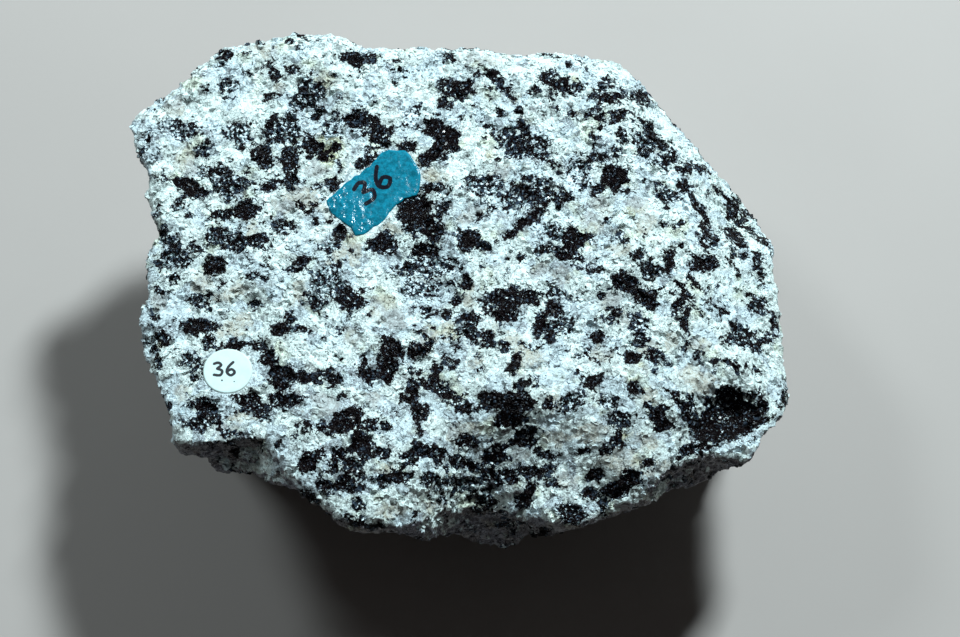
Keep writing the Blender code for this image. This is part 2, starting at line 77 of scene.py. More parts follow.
# The dark minerals of the face: across, down, width, height, turn up to the right in degrees, and
# how much pale grain they hold, from 0 for a solid crystal to 1.2 for a mostly pale one
DARK_GRAINS = (
    (223, 54, 16, 14, 0, 0.3), (267, 64, 12, 6, 20, 0.3), (273, 76, 10, 4, -60, 0.2),
    (296, 68, 8, 7, 0, 0.4), (226, 86, 20, 13, 0, 0.7), (313, 90, 26, 26, 0, 0.7),
    (297, 101, 14, 14, 0, 0.7), (318, 111, 10, 9, 0, 0.5), (355, 58, 22, 14, -10, 0.3),
    (372, 58, 9, 8, 0, 0.3), (270, 75, 12, 6, 10, 0.4), (297, 70, 14, 12, 0, 0.6),
    (460, 88, 22, 20, 0, 0.3), (447, 105, 9, 8, 0, 0.3), (183, 129, 22, 16, 0, 0.8),
    (147, 138, 12, 8, 0, 0.8), (203, 151, 15, 12, 30, 0.7), (240, 135, 24, 24, 0, 0.8),
    (272, 133, 22, 20, 0, 0.6), (292, 125, 18, 18, 0, 0.7), (290, 137, 16, 14, 0, 0.7),
    (264, 158, 20, 22, 20, 0.2), (290, 161, 14, 20, 10, 0.3), (292, 181, 15, 14, 0, 0.5),
    (312, 144, 18, 12, -20, 0.2), (321, 155, 16, 9, -25, 0.2), (334, 183, 13, 12, 20, 0.3),
    (313, 208, 16, 5, 35, 0.2), (333, 128, 20, 16, 0, 0.9), (358, 120, 26, 17, -5, 0.3),
    (380, 136, 24, 14, -40, 0.3), (404, 145, 14, 9, 10, 0.2), (367, 162, 18, 8, 40, 0.4),
    (434, 128, 22, 18, 10, 0.1), (447, 138, 20, 22, 0, 0.12), (430, 157, 24, 13, 35, 0.15),
    (430, 189, 20, 5, 5, 0.2), (413, 204, 18, 14, 0, 0.4), (404, 214, 12, 10, 0, 0.4),
    (418, 228, 26, 18, 0, 0.4), (435, 239, 12, 8, 0, 0.4), (443, 207, 16, 8, 40, 0.4),
    (386, 244, 18, 14, 10, 0.5), (341, 234, 12, 18, 0, 0.2), (330, 245, 18, 12, 0, 0.7),
    (187, 185, 27, 16, -30, 0.05), (203, 194, 13, 10, 0, 0.2), (218, 179, 24, 22, 0, 0.55),
    (231, 188, 26, 22, 0, 0.6), (178, 203, 14, 10, 30, 0.5), (246, 210, 25, 18, 0, 0.08),
    (223, 215, 24, 13, 0, 0.35), (220, 230, 12, 8, 0, 0.4), (236, 243, 24, 12, -15, 0.4),
    (197, 248, 16, 8, -30, 0.3), (172, 243, 20, 18, 0, 0.7), (180, 258, 26, 20, 0, 0.7),
    (160, 265, 10, 8, 0, 0.5), (215, 266, 21, 18, 0, 0.1), (197, 301, 20, 9, 0, 0.6),
    (302, 259, 14, 10, 0, 0.1), (296, 266, 12, 8, 40, 0.5), (328, 281, 32, 25, 20, 0.88),
    (346, 298, 14, 26, 15, 0.4), (358, 303, 14, 16, 0, 0.3), (310, 303, 8, 6, 0, 0.4),
    (430, 310, 9, 8, 0, 0.5), (430, 268, 48, 16, 5, 0.78), (422, 288, 36, 18, 0, 0.9),
    (438, 284, 12, 9, 0, 0.7), (200, 326, 32, 12, 0, 0.3), (210, 342, 10, 14, 0, 0.4),
    (163, 338, 12, 12, 0, 0.4), (157, 361, 6, 16, 0, 0.4), (190, 361, 22, 12, 0, 0.6),
    (196, 376, 10, 8, 0, 0.4), (236, 345, 18, 10, 0, 0.2), (281, 329, 16, 14, 0, 0.1),
    (260, 345, 13, 9, 0, 0.2), (271, 358, 14, 14, 0, 0.3), (281, 377, 24, 24, 20, 0.2),
    (302, 375, 10, 9, 0, 0.3), (313, 378, 12, 9, 0, 0.3), (330, 379, 12, 10, 0, 0.4),
    (200, 401, 24, 10, 10, 0.6), (207, 412, 20, 20, 0, 0.3), (200, 424, 28, 10, 0, 0.5),
    (248, 402, 20, 15, 0, 0.3), (262, 411, 18, 10, 0, 0.3), (283, 401, 24, 13, 10, 0.4),
    (305, 425, 8, 6, 0, 0.4), (345, 420, 32, 17, 30, 0.1), (371, 424, 12, 10, 0, 0.4),
    (361, 445, 20, 18, 0, 0.1), (340, 455, 9, 7, 0, 0.4), (333, 468, 9, 7, 0, 0.4),
    (308, 462, 24, 15, 25, 0.1), (325, 485, 14, 10, 0, 0.3), (345, 482, 14, 11, 0, 0.3),
    (356, 485, 10, 8, 0, 0.3), (383, 480, 10, 15, 0, 0.2), (397, 476, 24, 12, 10, 0.1),
    (391, 348, 20, 19, 0, 0.1), (388, 370, 25, 22, 0, 0.3), (365, 375, 13, 15, 0, 0.3),
    (418, 352, 22, 12, 30, 0.3), (437, 368, 9, 8, 0, 0.3), (450, 362, 11, 9, 0, 0.4),
    (413, 393, 12, 17, 0, 0.1), (430, 383, 14, 10, -35, 0.3), (445, 393, 18, 10, -35, 0.3),
    (462, 404, 16, 9, -20, 0.3), (419, 414, 16, 16, 0, 0.1), (423, 451, 36, 12, 8, 0.2),
    (412, 458, 10, 12, 0, 0.4), (440, 456, 10, 12, 0, 0.4), (465, 440, 14, 10, 0, 0.3),
    (457, 461, 16, 14, 0, 0.4), (445, 483, 18, 12, 0, 0.8), (468, 483, 18, 12, 0, 0.8),
    (360, 522, 24, 6, -15, 0.4), (502, 86, 28, 7, -49, 0.2), (549, 78, 14, 10, -40, 0.2),
    (562, 86, 16, 9, -15, 0.2), (576, 88, 12, 8, 20, 0.3), (535, 90, 8, 6, 0, 0.4), (608, 82, 9, 7, 0, 0.3),
    (598, 95, 13, 5, -20, 0.3), (615, 95, 12, 5, -20, 0.3), (642, 97, 14, 6, -40, 0.3),
    (574, 115, 10, 7, 0, 0.4), (585, 115, 9, 7, 0, 0.4), (600, 116, 9, 6, 0, 0.4),
    (617, 116, 14, 10, 0, 0.3), (624, 135, 9, 8, 0, 0.4), (498, 112, 8, 8, 0, 0.4),
    (523, 132, 10, 18, 0, 0.3), (505, 135, 22, 16, 0, 0.8), (518, 152, 24, 18, 0, 0.8),
    (540, 146, 18, 16, 0, 0.8), (643, 145, 10, 16, 0, 0.3), (645, 125, 8, 7, 0, 0.4),
    (660, 145, 16, 8, -40, 0.7), (663, 163, 13, 12, 0, 0.7), (600, 157, 16, 4, 15, 0.3),
    (614, 178, 24, 26, 0, 0.05), (596, 190, 12, 11, 0, 0.2), (580, 172, 18, 24, 0, 0.8),
    (683, 186, 14, 9, 0, 0.1), (687, 168, 8, 7, 0, 0.4), (700, 170, 8, 7, 0, 0.4),
    (670, 195, 26, 15, -35, 0.7), (706, 232, 5, 20, 20, 0.1), (703, 244, 4, 10, 30, 0.1),
    (680, 224, 9, 7, 0, 0.4), (720, 195, 14, 5, -35, 0.2), (732, 209, 13, 22, -10, 0.15),
    (748, 215, 9, 8, 0, 0.4), (736, 239, 26, 11, -40, 0.25), (732, 257, 5, 14, -10, 0.1),
    (743, 256, 12, 8, 0, 0.4), (757, 258, 10, 8, 0, 0.4), (707, 265, 28, 13, 5, 0.08),
    (699, 262, 18, 5, -50, 0.1), (716, 262, 14, 5, 55, 0.1), (669, 260, 9, 21, 0, 0.1),
    (650, 270, 23, 18, 0, 0.4), (638, 254, 9, 8, 0, 0.4), (625, 284, 24, 16, -30, 0.1),
    (643, 299, 24, 14, -35, 0.15), (577, 238, 23, 19, 0, 0.12), (565, 251, 17, 17, 0, 0.15),
    (555, 232, 18, 14, 0, 0.7), (618, 237, 12, 8, 0, 0.7), (590, 268, 14, 5, -20, 0.3),
    (508, 236, 14, 8, 30, 0.3), (521, 225, 14, 8, 40, 0.3), (535, 214, 12, 8, 30, 0.3),
    (520, 197, 30, 15, 0, 0.7), (545, 195, 12, 20, 0, 0.5), (560, 197, 9, 8, 0, 0.4),
    (482, 184, 38, 22, 0, 0.72), (470, 241, 22, 19, 0, 0.12), (485, 248, 9, 8, 0, 0.3),
    (465, 283, 11, 13, 0, 0.1), (503, 300, 34, 17, 0, 0.22), (505, 313, 22, 14, 0, 0.15),
    (528, 297, 16, 11, 0, 0.25), (554, 309, 13, 12, 0, 0.1), (471, 320, 14, 16, 0, 0.4),
    (473, 335, 12, 12, 0, 0.4), (487, 340, 14, 12, 0, 0.3), (540, 328, 11, 22, 0, 0.3),
    (563, 325, 20, 14, 0, 0.8), (596, 338, 15, 13, 20, 0.1), (585, 350, 12, 9, 40, 0.7),
    (638, 326, 18, 20, 0, 0.6), (640, 342, 18, 14, 0, 0.6), (632, 358, 14, 12, 20, 0.1),
    (660, 358, 20, 8, -35, 0.7), (594, 380, 18, 14, 20, 0.1), (635, 388, 12, 12, 0, 0.3),
    (505, 345, 9, 7, 0, 0.3), (514, 363, 9, 17, -25, 0.1), (522, 382, 13, 9, 0, 0.2),
    (494, 400, 26, 14, 0, 0.3), (518, 405, 34, 22, 0, 0.05), (510, 420, 22, 14, 0, 0.2),
    (548, 402, 10, 9, 0, 0.2), (572, 402, 26, 14, 30, 0.7), (610, 403, 14, 10, 0, 0.8),
    (618, 421, 26, 13, -10, 0.4), (658, 415, 18, 15, 0, 0.2), (664, 424, 14, 9, 0, 0.2),
    (675, 395, 9, 8, 0, 0.3), (604, 452, 12, 8, 30, 0.1), (616, 442, 12, 9, 30, 0.2),
    (582, 451, 12, 6, 30, 0.1), (553, 455, 10, 6, 0, 0.2), (648, 460, 9, 12, 40, 0.2),
    (525, 437, 24, 24, 0, 0.5), (495, 455, 22, 18, 0, 0.4), (488, 475, 16, 12, 0, 0.4),
    (510, 475, 18, 13, 0, 0.3), (530, 473, 16, 12, 0, 0.3), (548, 470, 14, 12, 0, 0.4),
    (595, 475, 17, 15, 0, 0.2), (590, 492, 12, 9, 0, 0.3), (624, 484, 38, 22, 30, 0.35),
    (485, 500, 16, 10, 0, 0.5), (525, 500, 14, 10, 0, 0.3), (570, 514, 22, 16, 0, 0.4),
    (690, 412, 18, 22, 0, 0.5), (710, 428, 34, 22, 0, 0.15), (726, 396, 20, 14, 0, 0.4),
    (740, 414, 36, 22, 0, 0.15), (718, 412, 24, 14, 0, 0.3), (755, 396, 9, 8, 0, 0.4),
    (783, 400, 8, 10, 0, 0.4), (745, 338, 36, 16, -35, 0.6), (725, 340, 10, 8, 0, 0.4),
    (733, 367, 14, 8, -30, 0.4), (765, 340, 9, 8, 0, 0.4), (723, 312, 10, 8, 0, 0.4),
    (681, 299, 5, 15, -20, 0.15), (685, 313, 5, 12, -20, 0.15), (755, 308, 14, 9, 0, 0.8),
    (470, 465, 12, 9, 0, 0.5), (430, 478, 12, 8, 0, 0.5), (300, 330, 9, 7, 0, 0.5),
    (522, 146, 60, 9, -29, 0.35), (652, 135, 22, 4, -50, 0.1), (668, 150, 20, 4, -45, 0.15),
    (414, 207, 28, 17, 0, 0.1), (424, 226, 38, 18, -15, 0.15), (382, 243, 28, 15, 10, 0.25),
    (427, 251, 26, 11, 0, 0.2), (445, 314, 9, 8, 0, 0.2), (457, 302, 8, 7, 0, 0.3),
    (542, 321, 10, 9, 0, 0.2), (565, 321, 12, 8, 0, 0.3), (525, 195, 40, 15, -5, 0.3),
    (562, 197, 15, 9, 0, 0.15), (540, 182, 22, 8, -20, 0.5), (555, 292, 14, 12, 0, 0.6),
    (547, 250, 24, 10, 0, 0.6), (480, 217, 4, 4, 0, 0.0), (698, 208, 34, 7, -60, 0.1),
    (715, 241, 7, 10, 0, 0.3), (681, 247, 6, 5, 0, 0.0), (655, 292, 5, 6, 0, 0.0),
    (680, 287, 14, 4, -45, 0.1), (700, 286, 20, 3, -45, 0.1), (710, 301, 14, 4, -60, 0.2),
    (752, 299, 17, 6, -35, 0.15), (760, 305, 9, 13, 0, 0.4), (696, 309, 13, 4, -45, 0.2),
    (684, 328, 15, 4, -60, 0.1), (772, 325, 6, 16, -10, 0.3), (655, 356, 9, 10, 0, 0.3),
    (612, 316, 10, 8, 0, 0.3), (760, 272, 5, 10, 0, 0.3), (744, 226, 26, 3, -35, 0.1),
    (762, 406, 9, 8, 0, 0.3), (697, 447, 28, 8, 15, 0.5), (745, 428, 32, 9, 20, 0.1),
    (381, 453, 15, 10, -20, 0.4), (550, 339, 8, 9, 0, 0.1), (459, 345, 8, 10, 0, 0.5),
    (467, 440, 14, 11, 0, 0.3), (350, 467, 20, 12, 0, 0.5), (270, 184, 16, 5, 15, 0.2),
    (167, 178, 8, 8, 0, 0.5), (162, 231, 8, 12, 0, 0.3), (217, 237, 26, 18, 0, 0.62),
    (257, 242, 22, 11, 0, 0.35), (284, 227, 20, 9, -15, 0.5), (317, 302, 18, 13, 0, 0.6),
    (264, 280, 8, 8, 0, 0.6), (249, 286, 5, 5, 0, 0.1), (250, 259, 4, 4, 0, 0.0), (224, 284, 5, 3, 0, 0.0),
    (172, 280, 9, 8, 0, 0.3), (256, 305, 10, 10, 0, 0.5), (212, 296, 9, 4, -20, 0.2),
    (154, 315, 6, 8, 0, 0.4), (290, 321, 8, 10, 0, 0.5), (493, 75, 8, 6, 0, 0.1), (268, 98, 6, 4, 0, 0.1),
    (411, 120, 14, 18, -15, 1.2), (576, 172, 15, 21, -20, 1.2), (660, 160, 13, 17, 10, 0.85),
    (645, 141, 20, 12, -35, 0.6), (661, 163, 12, 12, 0, 0.7), (687, 169, 7, 6, 0, 0.1),
    (700, 169, 8, 7, -20, 0.1), (596, 95, 14, 4, 10, 0.2), (615, 96, 12, 5, 30, 0.2),
    (607, 81, 9, 7, 0, 0.1), (641, 95, 12, 8, -40, 0.2), (616, 117, 13, 9, 0, 0.1),
    (650, 127, 8, 9, 0, 0.2),
)

# The greyish quartz of the face, written in the same way, with how brown it is in place of grain
QUARTZ_GRAINS = (
    (266, 50, 22, 12, 0, 0.5), (175, 108, 20, 18, -40, 0.6), (186, 160, 22, 30, 0, 0.5),
    (278, 88, 10, 8, 0, 0.6), (325, 82, 22, 30, 0, 0.5), (318, 170, 24, 18, 0, 0.4),
    (285, 205, 22, 20, 0, 0.4), (330, 215, 14, 12, 0, 0.5), (480, 60, 30, 12, 0, 0.4),
    (500, 170, 24, 14, 0, 0.5), (470, 215, 26, 16, 0, 0.5), (395, 320, 26, 22, 0, 0.4),
    (430, 335, 24, 22, 0, 0.7), (325, 405, 24, 26, 0, 0.3), (375, 398, 20, 16, 0, 0.4),
    (525, 358, 30, 16, -30, 0.8), (475, 362, 14, 10, 0, 0.8), (555, 402, 18, 20, 0, 0.7),
    (600, 355, 24, 16, 0, 0.5), (652, 350, 20, 16, 0, 0.6), (650, 395, 18, 16, 0, 0.8),
    (555, 437, 30, 12, -10, 0.8), (620, 460, 40, 24, 0, 0.6), (600, 435, 24, 14, 0, 0.6),
    (470, 430, 22, 18, 0, 0.7), (520, 455, 20, 14, 0, 0.4), (565, 480, 26, 18, 0, 0.5),
    (690, 375, 26, 18, 0, 0.6), (645, 440, 26, 20, 0, 0.6), (700, 345, 22, 16, 0, 0.5),
    (640, 205, 24, 16, 0, 0.4), (600, 205, 20, 14, 0, 0.4), (450, 330, 16, 20, 0, 0.6),
    (352, 335, 20, 16, 0, 0.3), (240, 290, 20, 14, 0, 0.5), (160, 300, 14, 22, 0, 0.5),
    (540, 270, 22, 16, 0, 0.3), (610, 300, 22, 16, 0, 0.4), (180, 390, 16, 18, 0, 0.4),
    (390, 510, 22, 14, 0, 0.5), (430, 505, 26, 12, 0, 0.5), (660, 470, 26, 16, 0, 0.6),
    (262, 48, 24, 14, 0, 0.5), (304, 198, 42, 22, -10, 0.8), (252, 230, 10, 16, 0, 0.9),
    (337, 257, 18, 28, -20, 0.9), (204, 282, 20, 24, 0, 0.7), (225, 297, 30, 13, 0, 0.6),
    (245, 322, 26, 16, -30, 0.9), (300, 291, 14, 18, 0, 0.8), (432, 175, 30, 16, 0, 0.8),
    (390, 230, 18, 13, 0, 0.9), (355, 252, 15, 32, 0, 0.9), (382, 305, 26, 22, 40, 0.6),
    (470, 295, 13, 24, 0, 0.8), (562, 275, 24, 20, 0, 0.5), (592, 222, 26, 22, -30, 0.5),
    (647, 225, 20, 17, 0, 0.7), (622, 250, 24, 11, 0, 0.9), (627, 320, 20, 16, 0, 0.7),
    (672, 342, 13, 20, 0, 0.8), (230, 330, 30, 18, 0, 0.8), (240, 416, 30, 10, 0, 0.9),
    (227, 431, 22, 14, 0, 0.2), (457, 432, 24, 20, 0, 0.7), (525, 352, 60, 12, -38, 0.8),
    (700, 382, 26, 24, 0, 0.8), (592, 432, 30, 18, 0, 0.8), (382, 470, 14, 10, 0, 0.9),
)

# Rusty and yellow-green spots of the face, written in the same way, from 0 for yellow to 1 for red
RUST_SPOTS = (
    (630, 211, 12, 9, 0, 0.1), (702, 341, 8, 7, 0, 0.3), (590, 245, 9, 8, 0, 0.2),
    (651, 403, 12, 4, -20, 0.5), (632, 380, 12, 8, 0, 0.2), (625, 436, 16, 8, 0, 0.3),
    (162, 344, 9, 7, 0, 0.5), (490, 155, 10, 12, 0, 0.6), (515, 98, 8, 6, 0, 0.4), (575, 78, 9, 6, 0, 0.3),
    (404, 146, 12, 7, 0, 0.9), (575, 113, 10, 6, 0, 0.9), (222, 264, 8, 12, 0, 0.5),
    (330, 150, 26, 34, 0, 0.1), (640, 365, 10, 8, 0, 0.3), (430, 178, 14, 8, 0, 0.3),
)

# Where the face as a whole is lighter or darker, partly its own tone and partly painted light and shade:
# across, down, width, height, and how much lighter
TONES_AND_PAINTED_LIGHT = (
    (425, 155, 50, 50, -0.4), (470, 112, 50, 40, -0.4), (420, 215, 44, 40, -0.1), (430, 300, 50, 40, -0.1),
    (535, 285, 40, 50, -0.6), (555, 240, 46, 36, -0.5), (215, 340, 50, 36, -0.5), (325, 385, 50, 60, -0.6),
    (220, 412, 60, 36, -0.5), (350, 465, 60, 40, -0.5), (255, 233, 50, 40, -0.4), (740, 428, 46, 36, -0.7),
    (622, 120, 36, 30, -0.4), (270, 168, 50, 40, -0.4), (390, 108, 44, 34, -0.4), (690, 440, 50, 36, -0.5),
    (490, 385, 60, 40, -0.5), (500, 470, 90, 40, -0.6), (445, 255, 60, 60, 0.2), (370, 370, 50, 50, -0.4),
    (712, 372, 70, 50, 0.9), (256, 276, 56, 50, 0.9), (345, 95, 46, 40, 0.4), (610, 95, 50, 30, 0.5),
    (470, 213, 60, 36, 0.5), (315, 200, 44, 50, 0.3), (185, 220, 40, 50, 0.5), (590, 140, 36, 36, 0.5),
    (565, 438, 60, 34, 0.6), (612, 462, 60, 40, 0.6), (232, 92, 66, 50, 0.9), (680, 212, 44, 60, 0.5),
    (732, 290, 56, 60, 0.8), (545, 362, 60, 36, 0.8), (585, 292, 44, 44, 0.6), (460, 410, 40, 36, 0.5),
    (375, 412, 50, 36, 0.3), (330, 325, 54, 30, 0.5), (175, 390, 36, 50, 0.5), (435, 492, 60, 26, 0.4),
    (690, 100, 50, 60, 0.4), (300, 235, 50, 36, 0.4), (620, 355, 60, 40, 0.3), (650, 230, 40, 40, 0.4),
    (200, 280, 110, 130, 0.35), (300, 60, 120, 50, 0.4), (700, 200, 90, 120, 0.3), (540, 60, 150, 40, 0.4),
    (560, 455, 170, 50, 0.35), (390, 490, 110, 40, 0.35), (175, 410, 40, 70, 0.7), (740, 370, 60, 60, 0.3),
    (180, 180, 70, 120, 0.7), (420, 90, 200, 60, 0.3), (720, 260, 80, 120, 0.4), (200, 320, 120, 160, 0.3),
)

# The dab of paint: its outline clockwise from the left corner, the middle that its rings close on
PAINT_OUTLINE = (
    (326, 201), (333, 195), (342, 187), (350, 180), (359, 175), (369, 167), (376, 159), (381, 153),
    (389, 150), (398, 151), (405, 151), (411, 156), (416, 163), (420, 171), (421, 180), (419, 189),
    (416, 196), (410, 198), (404, 199), (397, 205), (389, 212), (382, 222), (373, 228), (363, 235),
    (355, 236), (351, 228), (345, 224), (338, 219), (332, 214), (328, 208),
)
PAINT_MIDDLE = (374.0, 191.0)

# The paper dot: its middle, its radius, how much the view shortens it, and specks of ink on it, each
# with its radius in pixels
DOT_MIDDLE = (227.8, 371.8)
DOT_RADIUS = 4 * MM
DOT_SHORTENING = 0.89
DOT_SPECKS = ((222.0, 380.3, 1.1), (234.2, 381.6, 0.8))

# The number on each: its middle, height and pitch, its rise in degrees, and its strokes' width
PAINT_NUMBER = ((373.0, 185.0), 22.0, 21.0, 42, 4.3)
DOT_NUMBER = ((224.4, 369.0), 13.0, 12.6, 2, 2.9)

# The hollow below the middle, where the ground runs on evenly: across, down, half its width and height
EVEN_GROUND = (560, 412, 172, 88)

# Crystals scattered through the rock: size of their cells, share of the cells that hold one, and seed
HIDDEN_DARK = (5.4 * MM, 0.80, 31)
HIDDEN_QUARTZ = (6.2 * MM, 0.72, 47)
SMALL_DARK = (2.5 * MM, 0.62, 53)

# How often each surface is smoothed, the angles that stay sharp, and the rows of a label's grid
STONE_SMOOTHING, HOLLOW_SMOOTHING, PAINT_SMOOTHING = 5, 240, 70
STONE_CREASE, LABEL_CREASE = math.radians(40), math.radians(50)
PAINT_ROWS, DOT_ROWS = 96, 56

# How far each label reaches down, how high the lowest plates lie, and the gap under the stone
PAINT_DEPTH, DOT_DEPTH = 0.30 * MM, 0.02 * MM
STREWN_FROM = 0.9 * MM
FLOOR_GAP = 0.02 * MM

# Colours that the settings don't hold: tints of the rock with its painted shade and glints, the dot's worn
# rim, the lamps and the sky
WARM_FELDSPAR, GREY_FELDSPAR = (0.54, 0.53, 0.47), (0.50, 0.58, 0.61)
COOL_TINT, WARM_TINT = (0.86, 0.88, 0.92), (1.0, 0.985, 0.95)
SEAM_TINT, HALO_TINT = (0.30, 0.31, 0.33), (0.55, 0.58, 0.58)
# The underside tint is painted shade, darkening the faces below the front edge
STAIN_TINT, UNDERSIDE_SHADE_TINT = (0.92, 0.86, 0.62), (0.34, 0.28, 0.31)
YELLOW_RUST, RED_RUST = (0.84, 0.78, 0.48), (0.60, 0.33, 0.18)
# The first of these is a painted glint on tiny crystals of the dark minerals
PAINTED_GLINT, DARK_CRUMB, PALE_CRUMB = (0.12, 0.15, 0.19), (0.15, 0.22, 0.24), (0.78, 0.90, 0.95)
WORN_PAPER = (0.66, 0.66, 0.56)
LAMP_COLOUR, SKY_COLOUR = (0.81, 0.96, 1.0), (1.0, 0.99, 0.97, 1)

# Hand-written figures as strokes in a box 0.6 wide and 1 high, and how wide one is drawn for its height
FIGURE_BOX, FIGURE_WIDTH = 0.6, 0.74
FIGURES = {
    "0": (((0.30, 1.0), (0.06, 0.74), (0.02, 0.30), (0.27, 0.0), (0.54, 0.27), (0.57, 0.74), (0.30, 1.0)),),
    "1": (((0.14, 0.78), (0.36, 1.0), (0.34, 0.5), (0.30, 0.0)),),
    "2": (((0.05, 0.76), (0.25, 1.0), (0.50, 0.82), (0.34, 0.40), (0.03, 0.03), (0.32, 0.06), (0.60, 0.03)),),
    "3": (((0.06, 0.93), (0.34, 1.0), (0.50, 0.80), (0.24, 0.55)),
          ((0.24, 0.55), (0.55, 0.36), (0.42, 0.04), (0.03, 0.08))),
    "4": (((0.14, 0.98), (0.04, 0.40), (0.62, 0.42)), ((0.46, 0.84), (0.40, 0.0))),
    "5": (((0.55, 0.97), (0.16, 0.96), (0.10, 0.58), (0.42, 0.60), (0.55, 0.30), (0.32, 0.0), (0.03, 0.10)),),
    "6": (((0.47, 1.0), (0.15, 0.64), (0.05, 0.26), (0.28, 0.0), (0.54, 0.20), (0.36, 0.46), (0.07, 0.30)),),
    "7": (((0.03, 0.95), (0.58, 0.97), (0.30, 0.5), (0.20, 0.0)),),
    "8": (((0.50, 0.86), (0.28, 1.0), (0.10, 0.80), (0.50, 0.28), (0.28, 0.0), (0.06, 0.22), (0.50, 0.86)),),
    "9": (((0.52, 0.80), (0.28, 1.0), (0.08, 0.76), (0.26, 0.54), (0.52, 0.78), (0.46, 0.36), (0.30, 0.0)),),
}


class StoneSettings(bpy.types.PropertyGroup):
    """Sizes and colours of the stone's grain."""

    cell: FloatProperty(name="Surface cell", description="Size of the cells that the surface is remade with",
                        default=0.36 * MM, unit="LENGTH")
    triangles: IntProperty(name="Triangles", description="Triangles kept in the stone", default=190000)
    grain: FloatProperty(name="Grain size", description="Size of the broken crystals", default=2.3 * MM,
                         unit="LENGTH")
    relief: FloatProperty(name="Relief", description="Strength of the broken crystals' relief", default=1.0)
    pale: FloatVectorProperty(name="Feldspar", description="Colour of the bright feldspar", subtype="COLOR",
                              default=(0.82, 0.95, 0.96))
    shade: FloatVectorProperty(name="Dull feldspar", description="Colour of the duller feldspar",
                               subtype="COLOR", default=(0.44, 0.48, 0.50))
    quartz: FloatVectorProperty(name="Quartz", description="Colour of the grey quartz", subtype="COLOR",
                                default=(0.40, 0.425, 0.425))
    brown: FloatVectorProperty(name="Brown quartz", description="Colour of the stained quartz",
                               subtype="COLOR", default=(0.51, 0.50, 0.43))
    dark: FloatVectorProperty(name="Dark mineral", description="Colour of the biotite and hornblende",
                              subtype="COLOR", default=(0.0040, 0.0022, 0.0026))
    # A painted sheen: a lighter slate colour standing in for the shine of the dark minerals' cleavage faces
    painted_slate_sheen: FloatVectorProperty(name="Slate sheen", description="Colour of the dark minerals' cleavage faces",
                               subtype="COLOR", default=(0.030, 0.046, 0.068))
    flakes: FloatProperty(name="Flake density", description="Mica flakes on a square metre of dark mineral",
                          default=700000.0)
    chips: FloatProperty(name="Chip density", description="Cleaved chips on a square metre of the shown face",
                         default=560000.0)


class LabelSettings(bpy.types.PropertyGroup):
    """Sizes, colours and numbers of the two labels."""

    paint_number: StringProperty(name="Paint number", description="Figures inked on the paint", default="36")
    dot_number: StringProperty(name="Dot number", description="Figures inked on the dot", default="36")
    paint_thickness: FloatProperty(name="Paint thickness", description="Height of the paint over the grain",
                                   default=0.30 * MM, unit="LENGTH")
    dot_thickness: FloatProperty(name="Dot thickness", description="Thickness of the paper dot",
                                 default=0.22 * MM, unit="LENGTH")
    paint: FloatVectorProperty(name="Paint", description="Colour of the paint", subtype="COLOR",
                               default=(0.005, 0.160, 0.240))
    paper: FloatVectorProperty(name="Paper", description="Colour of the paper", subtype="COLOR",
                               default=(0.70, 0.90, 0.90))
    ink: FloatVectorProperty(name="Ink", description="Colour of the ink", subtype="COLOR",
                             default=(0.008, 0.008, 0.014))


class StageSettings(bpy.types.PropertyGroup):
    """The floor and the lights."""

    floor: FloatVectorProperty(name="Floor", description="Colour of the floor", subtype="COLOR",
                               default=(0.445, 0.40, 0.38))
    key_power: FloatProperty(name="Key light", description="Power of the main light", default=9.9,
                             unit="POWER")
    side_power: FloatProperty(name="Side light", description="Power of the light on the left",
                              default=1.7, unit="POWER")
    sky: FloatProperty(name="Sky", description="Strength of the light from all round", default=0.035)


def smooth_step(value, low, high):
    """0 below low, 1 above high, and smoothly between them."""
    share = np.clip((value - low) / (high - low), 0.0, 1.0)
    return share * share * (3 - 2 * share)


def cell_value(cell, seed):
    """A value from -1 to 1 for each whole-numbered cell, the same for the same seed."""
    key = cell[:, 0] * 73856093 ^ cell[:, 1] * 19349663 ^ cell[:, 2] * 83492791 ^ seed * 2654435761
    key = (key ^ (key >> 13)) * 1274126177
    return ((key ^ (key >> 16)) & 0xFFFF) / 0x7FFF - 1.0


def noise(points, size, seed):
    """Smooth lumps of about that size, from -1 to 1."""
    grid = points / size + 37.0 * seed
    corner = np.floor(grid).astype(np.int64)
    share = grid - corner
    share = share * share * (3 - 2 * share)
    height = np.zeros(len(points))
    for step in np.ndindex(2, 2, 2):
        weight = np.prod(np.where(step, share, 1 - share), axis=1)
        height += weight * cell_value(corner + step, seed)
    return height


def neighbours(points, size, seed):
    """For each of the 27 cells round every point: the way from the cell's own centre, and the cell."""
    grid = points / size + 11.0 * seed
    corner = np.floor(grid).astype(np.int64)
    for step in np.ndindex(3, 3, 3):
        cell = corner + np.array(step) - 1
        shift = np.stack([cell_value(cell, seed + axis) for axis in range(3)], axis=1)
        yield grid - (cell + 0.5 + 0.42 * shift), cell


def broken_grain(points, size, lean, seed):
    """Height of broken crystals of that size, each cut off at its own slant of up to about lean."""
    nearest = np.full(len(points), 9.0)
    height = np.zeros(len(points))
    for away, cell in neighbours(points, size, seed):
        squared = (away**2).sum(axis=1)
        slant = np.stack([cell_value(cell, seed + 3 + axis) for axis in range(3)], axis=1)
        value = lean * ((away * slant).sum(axis=1) + 0.30 * cell_value(cell, seed + 7))
        height = np.where(squared < nearest, value, height)
        nearest = np.minimum(nearest, squared)
    return height * size


